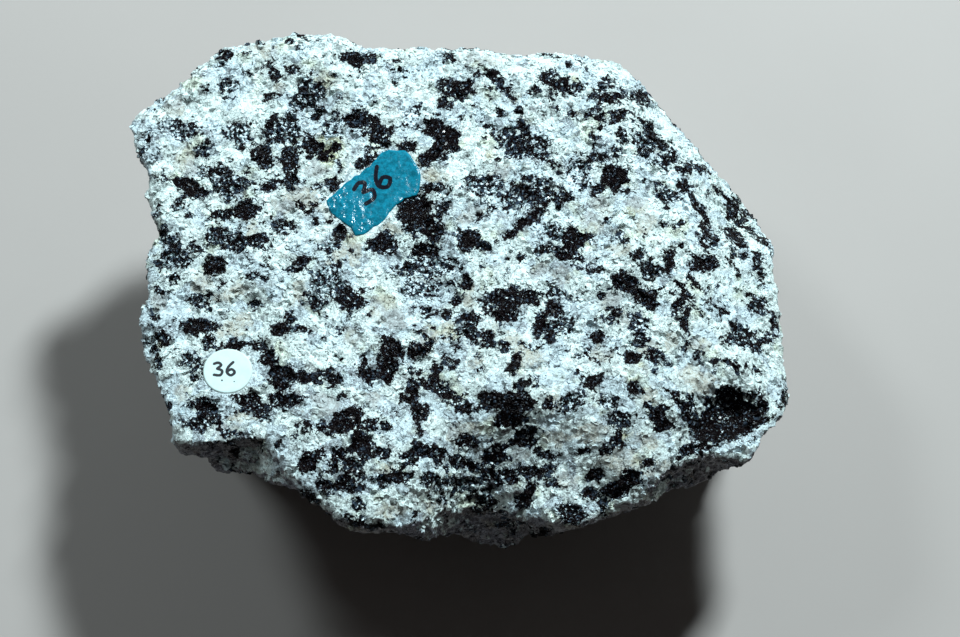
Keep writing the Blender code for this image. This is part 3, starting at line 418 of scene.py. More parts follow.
def scattered_depth(points, size, share, seed):
    """Depth inside stretched crystals scattered through the rock, in metres, and each one's own value."""
    best = np.full(len(points), -size)
    own = np.zeros(len(points))
    for away, cell in neighbours(points, size, seed):
        radius = 0.26 + 0.20 * cell_value(cell, seed + 3)
        radius = np.where(cell_value(cell, seed + 4) < 2 * share - 1, radius, 0.02)
        axis = np.stack([cell_value(cell, seed + 5 + axis) for axis in range(3)], axis=1)
        axis /= np.linalg.norm(axis, axis=1)[:, None] + 1e-6
        along = (away * axis).sum(axis=1)
        squared = (away**2).sum(axis=1) - 0.62 * along**2
        depth = (radius - np.sqrt(np.maximum(squared, 0))) * size
        own = np.where(depth > best, cell_value(cell, seed + 9), own)
        best = np.maximum(best, depth)
    return best, own


def to_picture(points):
    """(across, down) in pixels of points seen in the picture's view."""
    away = VIEW_DISTANCE - (points - AIM) @ TO_EYE
    scale = VIEW_DISTANCE / PIXEL / away
    across = PICTURE_MIDDLE[0] + (points - AIM)[:, 0] * scale
    down = PICTURE_MIDDLE[1] - (points - AIM) @ VIEW_UP * scale
    return across, down


def marked_depth(across, down, marks, seed):
    """Depth inside the marks read in the picture, in metres, and the nearest one's last value.

    Each mark is an oval whose sides are cut off straight, as a crystal's are.
    """
    best = np.full(len(across), -60.0)
    own = np.zeros(len(across))
    chance = np.random.default_rng(seed)
    for middle_across, middle_down, width, height, turn, value in marks:
        cut_turns = (np.arange(6) + chance.uniform(-0.35, 0.35, 6)) * math.pi / 3
        cut_reaches = chance.uniform(0.72, 1.15, 6)
        near = np.flatnonzero(np.maximum(abs(across - middle_across), abs(down - middle_down)) < 60)
        right, up = across[near] - middle_across, middle_down - down[near]
        turned, level = math.sin(math.radians(turn)), math.cos(math.radians(turn))
        along = (right * level + up * turned) / (width / 2)
        aside = (up * level - right * turned) / (height / 2)
        outwards = np.hypot(along, aside) / 1.1
        for cut_turn, reach in zip(cut_turns, cut_reaches):
            outwards = np.maximum(outwards, (along * math.cos(cut_turn) + aside * math.sin(cut_turn)) / reach)
        depth = (1 - outwards) * min(width, height) / 2
        deeper = depth > best[near]
        own[near[deeper]] = value
        best[near[deeper]] = depth[deeper]
    return best * PIXEL, own


def seen_share(normals):
    """1 where the stone faces the picture's view and shows its marks, and 0 where it faces away."""
    return smooth_step(normals @ TO_EYE, 0.05, 0.30)


def minerals(points, normals):
    """Depth in the dark minerals and in the quartz at points of the stone, and the value of each."""
    sway = np.stack([noise(points, 1.7 * MM, seed) + 0.5 * noise(points, 0.7 * MM, seed + 1)
                     for seed in (21, 23, 25)], axis=1)
    swayed = points + 0.45 * MM * sway
    across, down = to_picture(swayed)
    seen = seen_share(normals)
    dark, grain = marked_depth(across, down, DARK_GRAINS, seed=3)
    quartz, brown = marked_depth(across, down, QUARTZ_GRAINS, seed=4)
    hidden_dark, hidden_grain = scattered_depth(swayed, *HIDDEN_DARK)
    hidden_quartz, hidden_brown = scattered_depth(swayed, *HIDDEN_QUARTZ)
    small_dark, small_grain = scattered_depth(swayed, *SMALL_DARK)
    dark = seen * dark + (1 - seen) * hidden_dark
    grain = np.where(seen > 0.5, grain, 0.4 + 0.4 * hidden_grain)
    grain = np.where(small_dark > dark, 0.4 + 0.3 * small_grain, grain)
    dark = np.maximum(dark, small_dark - (0.30 + 0.20 * seen) * MM)
    quartz = seen * quartz + (1 - seen) * hidden_quartz
    brown = np.where(seen > 0.5, brown, 0.5 + 0.4 * hidden_brown)
    return dark, grain, quartz, brown


def rust_share(points, normals):
    """How rusty the face is at points of the stone, from 0 to 1, and from 0 for yellow to 1 for red."""
    across, down = to_picture(points + 0.3 * MM * noise(points, 0.9 * MM, seed=29)[:, None])
    depth, red = marked_depth(across, down, RUST_SPOTS, seed=6)
    return smooth_step(depth, -0.35 * MM, 0.45 * MM) * seen_share(normals), red


def face_tone_and_painted_shade(points, normals):
    """How much lighter the picture shows the face there, from -1 to 1, partly the rock's own tone and partly
    painted light and shade, and -2 for painted shade on the underside below its front edge."""
    across, down = to_picture(points)
    tone = np.zeros(len(points))
    for middle_across, middle_down, width, height, value in TONES_AND_PAINTED_LIGHT:
        squared = ((across - middle_across) / width) ** 2 + ((down - middle_down) / height) ** 2
        tone += value * np.exp(-4 * squared)
    tone = np.clip(tone, -1, 1) * seen_share(normals)
    front, up = -normals[:, 1], normals[:, 2]
    # Painted shade: faces that turn to the front and down, below the front edge, go to -2
    return tone - 2 * smooth_step(front - 0.8 * up, 0.08, 0.42) * smooth_step(front, 0.1, 0.4)


def even_share(points, normals):
    """1 in the hollow where the ground runs on evenly, and 0 clear of it."""
    across, down = to_picture(points)
    middle_across, middle_down, half_width, half_height = EVEN_GROUND
    inside = np.hypot((across - middle_across) / half_width, (down - middle_down) / half_height)
    return (1 - smooth_step(inside, 0.6, 1.0)) * smooth_step(normals[:, 2], 0.2, 0.5)


def label_cover(points, normals):
    """1 under the dot, 0.75 under the paint, and 0 clear of them."""
    across, down = to_picture(points)
    radius = np.hypot(across - PAINT_MIDDLE[0], PAINT_MIDDLE[1] - down)
    angle = np.arctan2(PAINT_MIDDLE[1] - down, across - PAINT_MIDDLE[0])
    paint = 1 - smooth_step(radius - outline_radius(PAINT_OUTLINE, PAINT_MIDDLE, angle), -2.0, 4.0)
    from_dot = np.hypot(across - DOT_MIDDLE[0], (down - DOT_MIDDLE[1]) / DOT_SHORTENING)
    dot = 1 - smooth_step(from_dot, 24.0, 30.0)
    return np.maximum(0.75 * paint, dot) * smooth_step(normals[:, 2], 0.1, 0.4)


def outline_radius(outline, middle, angle):
    """How far an outline is from its middle, in the direction of each angle."""
    right, up = np.array(outline, float).T - np.array([[middle[0]], [middle[1]]])
    radii, angles = np.hypot(right, up), np.arctan2(-up, right)
    order = np.argsort(angles)
    return np.interp(angle, angles[order], radii[order], period=2 * math.pi)


def stone_relief(points, normals, grain):
    """Height of the broken rock over the even stone, in metres."""
    dark, _, quartz, _ = minerals(points, normals)
    relief = 0.22 * MM * noise(points, 3.3 * MM, seed=61)
    relief += broken_grain(points, grain, lean=0.15, seed=71)
    relief += broken_grain(points, 0.46 * grain, lean=0.26, seed=83)
    relief += 0.07 * MM * noise(points, 0.8 * MM, seed=67)
    relief -= 0.20 * MM * smooth_step(dark, -0.2 * MM, 0.6 * MM)
    relief += 0.16 * MM * smooth_step(dark, 0, 0.4 * MM) * noise(points, 0.9 * MM, seed=91)
    relief -= 0.08 * MM * smooth_step(quartz, -0.2 * MM, 0.6 * MM)
    return relief


def points_of(mesh):
    flat = np.empty(len(mesh.vertices) * 3, np.float32)
    mesh.vertices.foreach_get("co", flat)
    return flat.reshape(-1, 3).astype(float)


def normals_of(mesh):
    flat = np.empty(len(mesh.vertices) * 3, np.float32)
    mesh.vertex_normals.foreach_get("vector", flat)
    return flat.reshape(-1, 3).astype(float)


def move_points(mesh, points):
    """Moves the mesh to the points, none of them under the floor."""
    points[:, 2] = np.maximum(points[:, 2], 0)
    mesh.vertices.foreach_set("co", points.astype(np.float32).ravel())
    mesh.update()


def set_values(mesh, name, values):
    layer = mesh.attributes.new(name, "FLOAT", "POINT")
    layer.data.foreach_set("value", np.asarray(values, np.float32))


def new_object(name, data):
    """An object of its own in the scene, with that mesh, light or camera."""
    piece = bpy.data.objects.new(name, data)
    bpy.context.scene.collection.objects.link(piece)
    return piece


def applied(piece):
    """Puts what the piece's modifiers make in its mesh, and takes the modifiers off."""
    graph = bpy.context.evaluated_depsgraph_get()
    graph.update()
    made = bpy.data.meshes.new_from_object(piece.evaluated_get(graph))
    old = piece.data
    piece.modifiers.clear()
    piece.data = made
    made.name = piece.name
    bpy.data.meshes.remove(old)
    return made


def copied_solid(node, name):
    """A new piece with the node's shape, its loose triangles merged."""
    body = bmesh.new()
    body.from_mesh(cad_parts[node].data)
    bmesh.ops.remove_doubles(body, verts=body.verts, dist=0.001 * MM)
    mesh = bpy.data.meshes.new(name)
    body.to_mesh(mesh)
    body.free()
    return new_object(name, mesh)


# Shader helpers


def feed(tree, socket, value):
    """Links a socket's value, or sets a plain one."""
    if isinstance(value, bpy.types.NodeSocket):
        tree.links.new(value, socket)
    elif value is not None:
        socket.default_value = (*value, 1) if socket.type == "RGBA" and len(value) == 3 else value


def made_node(tree, kind, inputs=(), **settings):
    """A new node of that kind, with its settings and with its inputs by name or number."""
    node = tree.nodes.new(kind)
    for name, value in settings.items():
        setattr(node, name, value)
    for key, value in dict(inputs).items():
        feed(tree, node.inputs[key], value)
    return node


def calc(tree, operation, first, second=None):
    inputs = {index: value for index, value in enumerate((first, second)) if value is not None}
    return made_node(tree, "ShaderNodeMath", inputs, operation=operation).outputs[0]


def about(tree, value, strength):
    """A value from 0 to 1 made one about 0, times a strength."""
    return calc(tree, "MULTIPLY", calc(tree, "SUBTRACT", value, 0.5), strength)


def total(tree, *values):
    """The sum of the values."""
    result = values[0]
    for value in values[1:]:
        result = calc(tree, "ADD", result, value)
    return result


def ramp(tree, value, low, high, start=0.0, end=1.0):
    """A smooth step from start to end as a value goes from low to high."""
    inputs = {"Value": value, "From Min": low, "From Max": high, "To Min": start, "To Max": end}
    node = made_node(tree, "ShaderNodeMapRange", inputs, interpolation_type="SMOOTHSTEP")
    return node.outputs["Result"]


def blended(tree, share, first, second, blend="MIX"):
    """Two colours mixed. The node's colours are its sockets 6, 7 and 2, which share their names."""
    inputs = {0: share, 6: first, 7: second}
    return made_node(tree, "ShaderNodeMix", inputs, data_type="RGBA", blend_type=blend).outputs[2]


def cloud(tree, place, size, detail=2.0, rough=0.5, seed=0.0):
    """Noise of that size in metres, about 0.5."""
    shift = (seed, 2 * seed, -seed)
    moved = made_node(tree, "ShaderNodeVectorMath", {0: place, 1: shift}, operation="ADD")
    inputs = {"Vector": moved.outputs[0], "Scale": 1 / size, "Detail": detail, "Roughness": rough}
    return made_node(tree, "ShaderNodeTexNoise", inputs).outputs["Fac"]


def value_of(tree, name):
    """The mesh's own value of that name."""
    return made_node(tree, "ShaderNodeAttribute", attribute_name=name).outputs["Fac"]


def add_bump(tree, shader, height, distance, strength, normal=None):
    inputs = {"Height": height, "Distance": distance, "Strength": strength, "Normal": normal}
    feed(tree, shader.inputs["Normal"], made_node(tree, "ShaderNodeBump", inputs).outputs[0])


def shader_group(name, inputs, outputs):
    """An empty node group with its named sockets: (tree, input node's outputs, output node's inputs)."""
    tree = bpy.data.node_groups.new(name, "ShaderNodeTree")
    for label, kind, default in inputs:
        socket = tree.interface.new_socket(label, in_out="INPUT", socket_type=kind)
        if default is not None:
            socket.default_value = default
    for label, kind in outputs:
        tree.interface.new_socket(label, in_out="OUTPUT", socket_type=kind)
    return tree, tree.nodes.new("NodeGroupInput").outputs, tree.nodes.new("NodeGroupOutput").inputs


def placed_group(tree, group, inputs):
    """The outputs of a shader group that is placed in the tree with its own inputs."""
    node = tree.nodes.new("ShaderNodeGroup")
    node.node_tree = group
    for key, value in inputs.items():
        feed(tree, node.inputs[key], value)
    return node.outputs


def speckle_group():
    """Fine specks: a mask that covers more of the surface as Amount grows, at the given Size."""
    tree, given, out = shader_group(
        "fine_specks",
        (("Place", "NodeSocketVector", None), ("Size", "NodeSocketFloat", 0.0003),
         ("Amount", "NodeSocketFloat", 0.5)),
        (("Mask", "NodeSocketFloat"),),
    )
    scale = calc(tree, "DIVIDE", 1.0, given["Size"])
    inputs = {"Vector": given["Place"], "Scale": scale, "Detail": 2.0, "Roughness": 0.6}
    grain = made_node(tree, "ShaderNodeTexNoise", inputs).outputs["Fac"]
    for finer, strength in ((0.9, 0.34), (2.0, 0.16)):
        inputs = {"Vector": given["Place"], "Scale": calc(tree, "MULTIPLY", scale, finer)}
        cells = made_node(tree, "ShaderNodeTexVoronoi", inputs).outputs["Color"]
        tone = made_node(tree, "ShaderNodeSeparateColor", {0: cells}).outputs[1]
        grain = total(tree, grain, about(tree, tone, strength))
    edge = calc(tree, "SUBTRACT", 0.80, calc(tree, "MULTIPLY", given["Amount"], 0.42))
    feed(tree, out["Mask"], ramp(tree, calc(tree, "SUBTRACT", grain, edge), -0.015, 0.025))
    return tree


def crystal_group():
    """Small crystal faces: the given normal tilted cell by cell, with each cell's tone, depth and reach
    to its edge."""
    tree, given, out = shader_group(
        "crystal_faces",
        (("Place", "NodeSocketVector", None), ("Size", "NodeSocketFloat", 0.001),
         ("Tilt", "NodeSocketFloat", 0.5), ("Normal", "NodeSocketVector", None)),
        (("Normal", "NodeSocketVector"), ("Tone", "NodeSocketFloat"), ("Height", "NodeSocketFloat"),
         ("Seam", "NodeSocketFloat")),
    )

    def vector(operation, first, second, scale=None):
        inputs = {0: first, "Scale": scale} if scale is not None else {0: first, 1: second}
        return made_node(tree, "ShaderNodeVectorMath", inputs, operation=operation).outputs[0]

    scale = calc(tree, "DIVIDE", 1.0, given["Size"])
    bent = made_node(tree, "ShaderNodeTexNoise", {"Vector": given["Place"], "Scale": scale, "Detail": 1.0})
    shift = vector("SUBTRACT", bent.outputs["Color"], (0.5, 0.5, 0.5))
    shift = vector("SCALE", shift, None, calc(tree, "MULTIPLY", given["Size"], 0.6))
    place = vector("ADD", given["Place"], shift)
    cells = made_node(tree, "ShaderNodeTexVoronoi", {"Vector": place, "Scale": scale})
    lean = vector("SUBTRACT", cells.outputs["Color"], (0.5, 0.5, 0.5))
    tilted = vector("ADD", given["Normal"], vector("SCALE", lean, None, given["Tilt"]))
    feed(tree, out["Normal"], vector("NORMALIZE", tilted, None))
    tone = made_node(tree, "ShaderNodeSeparateColor", {0: cells.outputs["Color"]}).outputs[0]
    feed(tree, out["Tone"], tone)
    feed(tree, out["Height"], calc(tree, "MULTIPLY", cells.outputs["Distance"], given["Size"]))
    edges = made_node(tree, "ShaderNodeTexVoronoi", {"Vector": place, "Scale": scale},
                      feature="DISTANCE_TO_EDGE")
    feed(tree, out["Seam"], calc(tree, "MULTIPLY", edges.outputs["Distance"], given["Size"]))
    return tree


def label_group():
    """What both labels show: a mask of the inked strokes, frayed in pieces of the given Size, from
    their Depth in pixels, and a mask of the worn rim, from the Reach to it."""
    tree, given, out = shader_group(
        "label_marks",
        (("Place", "NodeSocketVector", None), ("Depth", "NodeSocketFloat", 0.0),
         ("Size", "NodeSocketFloat", 0.0003), ("Fray", "NodeSocketFloat", 1.0),
         ("Reach", "NodeSocketFloat", 0.0), ("Rim", "NodeSocketFloat", 0.9),
         ("Wear", "NodeSocketFloat", 0.5)),
        (("Ink", "NodeSocketFloat"), ("Worn", "NodeSocketFloat")),
    )
    scale = calc(tree, "DIVIDE", 1.0, given["Size"])
    inputs = {"Vector": given["Place"], "Scale": scale, "Detail": 3.0, "Roughness": 0.6}
    fray = about(tree, made_node(tree, "ShaderNodeTexNoise", inputs).outputs["Fac"], given["Fray"])
    feed(tree, out["Ink"], ramp(tree, total(tree, given["Depth"], fray), -0.25, 0.35))
    worn = ramp(tree, given["Reach"], given["Rim"], 1.0)
    feed(tree, out["Worn"], calc(tree, "MULTIPLY", worn, given["Wear"]))
    return tree


def label_marks(tree, place, size, fray, rim, wear):
    """The masks of a label's ink and of its worn rim."""
    group = bpy.data.node_groups.get("label_marks") or label_group()
    marks = placed_group(tree, group, {
        "Place": place, "Depth": value_of(tree, "ink"), "Size": size, "Fray": fray,
        "Reach": value_of(tree, "rim"), "Rim": rim, "Wear": wear,
    })
    return marks["Ink"], marks["Worn"]


def new_material(name):
    """A material with nodes: itself, its tree, its shader and the Object coordinates."""
    material = bpy.data.materials.new(name)
    material.use_nodes = True
    tree = material.node_tree
    place = tree.nodes.new("ShaderNodeTexCoord").outputs["Object"]
    return material, tree, tree.nodes["Principled BSDF"], place


def rock_material(settings):
    """White feldspar, grey quartz and black biotite and hornblende, broken across."""
    material, tree, shader, place = new_material("tonalite_rock")
    specks = bpy.data.node_groups.get("fine_specks") or speckle_group()
    crystals = bpy.data.node_groups.get("crystal_faces") or crystal_group()
    white, black = tuple(settings.pale), tuple(settings.dark)

    def faces(size, tilt, normal):
        inputs = {"Place": place, "Size": size, "Tilt": tilt, "Normal": normal}
        return placed_group(tree, crystals, inputs)

    def speckled(size, amount):
        return placed_group(tree, specks, {"Place": place, "Size": size, "Amount": amount})["Mask"]

    def times(first, second):
        return calc(tree, "MULTIPLY", first, second)

    def tinted(share, colour, tint):
        return blended(tree, share, colour, tint, "MULTIPLY")

    facing = tree.nodes.new("ShaderNodeNewGeometry").outputs["Normal"]
    big = faces(3.0 * MM, 0.20, facing)
    middling = faces(0.95 * MM, 0.38, big["Normal"])
    small = faces(0.42 * MM, 0.48, middling["Normal"])
    tiny = faces(0.20 * MM, 0.0, facing)["Tone"]

    # Where the dark minerals are: blocky at the edges, and the more ragged the more grain they hold
    grain = value_of(tree, "grain")
    ragged = total(tree, about(tree, cloud(tree, place, 1.3 * MM, 5.0, 0.60), 2.6 * MM),
                   about(tree, middling["Tone"], 0.80 * MM))
    ragged = times(ragged, ramp(tree, grain, 0.0, 0.5, 0.38, 1.0))
    depth = total(tree, value_of(tree, "dark"), ragged, about(tree, small["Tone"], 0.34 * MM), 0.37 * MM)
    dark = ramp(tree, depth, -0.02 * MM, 0.03 * MM)
    halo = ramp(tree, depth, -1.0 * MM, 0.1 * MM)

    # The pale minerals: clouds of clean feldspar in duller, mottled feldspar, crumbly and with seams
    # The face's tone, partly the rock's own and partly painted light and shade, makes clean, whiter feldspar
    # commoner where it is lighter
    tone = value_of(tree, "tone")
    clouds = total(tree, cloud(tree, place, 3.4 * MM, 4.0, 0.60, 1.7), about(tree, big["Tone"], 0.20),
                   about(tree, middling["Tone"], 0.12), times(tone, 0.12))
    mottle = total(tree, cloud(tree, place, 0.36 * MM, 4.0, 0.72, 0.7), about(tree, small["Tone"], 0.14),
                   about(tree, middling["Tone"], 0.20), about(tree, tiny, 0.16), times(tone, 0.03))
    dull = blended(tree, ramp(tree, middling["Tone"], 0.3, 0.7), tuple(settings.shade), WARM_FELDSPAR)
    mottled = blended(tree, ramp(tree, mottle, 0.37, 0.49), dull, white)
    clean = blended(tree, ramp(tree, mottle, 0.31, 0.40), GREY_FELDSPAR, white)
    pale = blended(tree, ramp(tree, clouds, 0.38, 0.45), mottled, clean)
    pale = tinted(0.9, pale, blended(tree, ramp(tree, big["Tone"], 0.30, 0.55), COOL_TINT, WARM_TINT))
    crumbly = total(tree, tiny, about(tree, middling["Tone"], 0.8))
    pale = tinted(1.0, pale, ramp(tree, crumbly, 0.05, 0.45, 0.72, 1.0))
    seams = ramp(tree, middling["Seam"], 0.01 * MM, 0.07 * MM, 0.65, 0.0)
    seams = times(seams, ramp(tree, cloud(tree, place, 2.2 * MM, 3.0, 0.6, 3.3), 0.44, 0.58))
    pale = tinted(seams, pale, SEAM_TINT)

    # The quartz, from grey to brown, with a little feldspar in it
    depth = total(tree, value_of(tree, "quartz"),
                  about(tree, cloud(tree, place, 1.8 * MM, 4.0, 0.6, 1.1), 2.8 * MM),
                  about(tree, middling["Tone"], 0.6 * MM))
    quartz = ramp(tree, depth, -0.35 * MM, 0.20 * MM)
    brown = ramp(tree, total(tree, value_of(tree, "brown"), about(tree, clouds, 1.6)), 0.35, 0.85)
    glassy = blended(tree, brown, tuple(settings.quartz), tuple(settings.brown))
    glassy = blended(tree, ramp(tree, mottle, 0.48, 0.60, 0.0, 0.45), glassy, white)
    pale = blended(tree, times(quartz, 0.88), pale, glassy)

    # Stains, painted shade on the underside, rust, a dimmer halo round the dark minerals, and dark specks
    stain = ramp(tree, cloud(tree, place, 5.5 * MM, 3.0, 0.6, 5.3), 0.56, 0.70, 0.0, 0.50)
    pale = tinted(stain, pale, STAIN_TINT)
    # Painted shade: the underside below the front edge is darkened towards the underside tint
    pale = tinted(ramp(tree, tone, -1.9, -1.0, 0.88, 0.0), pale, UNDERSIDE_SHADE_TINT)
    rusty = times(value_of(tree, "rust"), ramp(tree, mottle, 0.40, 0.55, 0.9, 0.4))
    pale = tinted(rusty, pale, blended(tree, value_of(tree, "red"), YELLOW_RUST, RED_RUST))
    pale = tinted(times(halo, 0.20), pale, HALO_TINT)
    pepper = speckled(0.38 * MM, total(tree, -0.09, times(halo, 0.55)))
    pale = blended(tree, times(pepper, 0.9), pale, black)

    # The dark minerals: near black, with a painted slate sheen on cleavage faces, tiny painted glints and
    # pale crumbs
    # Painted sheen: some crystals take the lighter slate colour
    sheen = ramp(tree, total(tree, small["Tone"], times(grain, 0.30)), 0.92, 1.08)
    mica = blended(tree, sheen, black, tuple(settings.painted_slate_sheen))
    # Painted glints: the lightest tiny crystals of the dark minerals
    mica = blended(tree, ramp(tree, tiny, 0.94, 0.97), mica, PAINTED_GLINT)
    crumb = total(tree, small["Tone"], about(tree, tiny, 0.5), ramp(tree, grain, 0.9, 1.2, 0.0, 0.5))
    crumb = blended(tree, ramp(tree, crumb, 0.35, 0.60), DARK_CRUMB, PALE_CRUMB)
    mica = blended(tree, speckled(0.58 * MM, total(tree, -0.14, times(grain, 0.88))), mica, crumb)
    feed(tree, shader.inputs["Base Color"], blended(tree, dark, pale, mica))

    # Smoother on the quartz, and smoothest on the dark minerals
    rough = total(tree, 0.60, times(quartz, -0.28))
    rough = times(rough, calc(tree, "SUBTRACT", 1.0, times(dark, 0.62)))
    feed(tree, shader.inputs["Roughness"], rough)
    shader.inputs["Specular IOR Level"].default_value = 0.06

    # Fine relief, sharper on the dark minerals
    hill = times(cloud(tree, place, 0.40 * MM, 4.0, 0.72, 2.1), 0.26 * MM)
    pit = times(middling["Height"], -0.16)
    flake = times(small["Height"], ramp(tree, value_of(tree, "dark"), 0.0, 0.3 * MM, 0.0, -0.6))
    add_bump(tree, shader, total(tree, hill, pit, flake), 1.0, 0.9, small["Normal"])
    return material


def mica_material(settings):
    """Flakes of black mica with shiny cleavage faces."""
    material, tree, shader, place = new_material("black_mica")
    # Painted sheen: the flakes' colour turns slate in patches, besides their real gloss
    tone = ramp(tree, cloud(tree, place, 0.7 * MM, 2.0, 0.5, 1.3), 0.52, 0.80)
    colour = blended(tree, tone, tuple(settings.dark), tuple(settings.painted_slate_sheen))
    feed(tree, shader.inputs["Base Color"], colour)
    rough = ramp(tree, cloud(tree, place, 0.5 * MM, 2.0, 0.5, 0.9), 0.3, 0.7, 0.12, 0.42)
    feed(tree, shader.inputs["Roughness"], rough)
    shader.inputs["Specular IOR Level"].default_value = 0.55
    add_bump(tree, shader, cloud(tree, place, 0.16 * MM, 2.0, 0.6), 0.03 * MM, 0.6)
    return material


def paint_material(settings):
    """Glossy teal paint, brushed on unevenly and wrinkled, with an inked number."""
    material, tree, shader, place = new_material("teal_paint")
    light = tuple(min(1.0, channel * 1.5) for channel in settings.paint)
    deep = tuple(channel * 0.56 for channel in settings.paint)
    streak = ramp(tree, cloud(tree, place, 0.9 * MM, 4.0, 0.7, 0.4), 0.30, 0.75)
    fleck = ramp(tree, cloud(tree, place, 0.30 * MM, 3.0, 0.7, 2.6), 0.38, 0.50, 0.6, 0.0)
    colour = blended(tree, fleck, blended(tree, streak, light, deep), deep)
    ink, worn = label_marks(tree, place, 0.30 * MM, fray=1.0, rim=0.90, wear=0.35)
    colour = blended(tree, worn, colour, light)
    feed(tree, shader.inputs["Base Color"], blended(tree, ink, colour, tuple(settings.ink)))

    # Glossiest and most wrinkled at the lower left
    crinkle = value_of(tree, "crinkle")
    gloss = ramp(tree, cloud(tree, place, 0.8 * MM, 2.0, 0.5, 0.8), 0.3, 0.7, 0.11, 0.19)
    duller = ramp(tree, crinkle, 0.0, 1.0, 0.05, 0.0)
    feed(tree, shader.inputs["Roughness"], total(tree, gloss, duller))
    shader.inputs["Specular IOR Level"].default_value = 0.20
    ridge = calc(tree, "ABSOLUTE", about(tree, cloud(tree, place, 0.95 * MM, 2.0, 0.5, 1.9), 1.0))
    ridge = calc(tree, "MULTIPLY", ridge, ramp(tree, crinkle, 0.0, 1.0, 0.35, 1.0))
    height = total(tree, cloud(tree, place, 0.9 * MM, 3.0, 0.6, 0.2),
                   calc(tree, "MULTIPLY", ink, 0.10), calc(tree, "MULTIPLY", ridge, -2.7))
    add_bump(tree, shader, height, 0.11 * MM, 0.75)
    return material


def paper_material(settings):
    """Smooth white gummed paper with a faint fibre and an inked number."""
    material, tree, shader, place = new_material("white_paper")
    soiled = tuple(channel * 0.90 for channel in settings.paper)
    tone = ramp(tree, cloud(tree, place, 1.2 * MM, 3.0, 0.6, 0.4), 0.3, 0.75)
    colour = blended(tree, tone, tuple(settings.paper), soiled)
    ink, worn = label_marks(tree, place, 0.25 * MM, fray=0.8, rim=0.93, wear=0.5)
    colour = blended(tree, worn, colour, WORN_PAPER)
    feed(tree, shader.inputs["Base Color"], blended(tree, ink, colour, tuple(settings.ink)))
    feed(tree, shader.inputs["Roughness"], total(tree, 0.62, calc(tree, "MULTIPLY", ink, -0.25)))
    add_bump(tree, shader, cloud(tree, place, 0.12 * MM, 3.0, 0.6, 0.6), 0.012 * MM, 0.5)
    return material


def floor_material(settings):
    """A plain pale floor with a faint, wide unevenness."""
    material, tree, shader, place = new_material("pale_floor")
    tone = ramp(tree, cloud(tree, place, 60 * MM, 3.0, 0.5), 0.3, 0.7)
    darker = tuple(channel * 0.97 for channel in settings.floor)
    feed(tree, shader.inputs["Base Color"], blended(tree, tone, tuple(settings.floor), darker))
    shader.inputs["Roughness"].default_value = 0.85
    add_bump(tree, shader, cloud(tree, place, 0.8 * MM, 2.0, 0.5), 0.02 * MM, 0.3)
    return material


# Strewn plates


def strewn_tree(name, mask, sides, material):
    """Plates with that many sides, strewn, sunk and tilted where the named mask is high."""
    tree = bpy.data.node_groups.new(name, "GeometryNodeTree")
    for label, kind, default in (
        ("Geometry", "NodeSocketGeometry", None), ("Density", "NodeSocketFloat", 1000.0),
        ("Width", "NodeSocketFloat", 0.8 * MM), ("Thickness", "NodeSocketFloat", 0.09 * MM),
        ("Sink", "NodeSocketFloat", 0.0), ("Tilt", "NodeSocketFloat", 0.5), ("Seed", "NodeSocketInt", 3),
    ):
        socket = tree.interface.new_socket(label, in_out="INPUT", socket_type=kind)
        if default is not None:
            socket.default_value = default
    tree.interface.new_socket("Geometry", in_out="OUTPUT", socket_type="NodeSocketGeometry")
    given = tree.nodes.new("NodeGroupInput").outputs
    where = made_node(tree, "GeometryNodeInputNamedAttribute", {"Name": mask}, data_type="FLOAT")
    density = calc(tree, "MULTIPLY", where.outputs[0], given["Density"])
    strewn = made_node(tree, "GeometryNodeDistributePointsOnFaces",
                       {"Mesh": given["Geometry"], "Density": density, "Seed": given["Seed"]})
    plate = made_node(tree, "GeometryNodeMeshCylinder",
                      {"Vertices": sides, "Radius": calc(tree, "MULTIPLY", given["Width"], 0.5),
                       "Depth": given["Thickness"]})
    below = made_node(tree, "ShaderNodeCombineXYZ", {2: calc(tree, "MULTIPLY", given["Sink"], -1.0)})
    plate = made_node(tree, "GeometryNodeTransform",
                      {"Geometry": plate.outputs["Mesh"], "Translation": below.outputs[0]})
    low = made_node(tree, "ShaderNodeCombineXYZ")
    high = made_node(tree, "ShaderNodeCombineXYZ", {2: math.pi})
    for axis in (0, 1):
        feed(tree, low.inputs[axis], calc(tree, "MULTIPLY", given["Tilt"], -1.0))
        feed(tree, high.inputs[axis], given["Tilt"])
    turn = made_node(tree, "FunctionNodeRandomValue",
                     {"Min": low.outputs[0], "Max": high.outputs[0], "Seed": given["Seed"]},
                     data_type="FLOAT_VECTOR")
    turned = made_node(tree, "FunctionNodeRotateRotation",
                       {"Rotation": strewn.outputs["Rotation"], "Rotate By": turn.outputs[0]},
                       rotation_space="LOCAL")
    size = made_node(tree, "FunctionNodeRandomValue", {"Min": (0.4, 0.3, 0.8), "Max": (1.0, 0.8, 1.3)},
                     data_type="FLOAT_VECTOR")
    placed = made_node(tree, "GeometryNodeInstanceOnPoints",
                       {"Points": strewn.outputs["Points"], "Instance": plate.outputs[0],
                        "Rotation": turned.outputs[0], "Scale": size.outputs[0]})
    real = made_node(tree, "GeometryNodeRealizeInstances", {"Geometry": placed.outputs[0]})
    dressed = made_node(tree, "GeometryNodeSetMaterial", {"Geometry": real.outputs[0], "Material": material})
    out = tree.nodes.new("NodeGroupOutput")
    feed(tree, out.inputs["Geometry"], dressed.outputs[0])
    return tree


def socket_key(tree, label):
    """The identifier of an input, by its name."""
    for item in tree.interface.items_tree:
        if item.item_type == "SOCKET" and item.in_out == "INPUT" and item.name == label:
            return item.identifier
    raise RuntimeError("no input named " + label)


# Labels


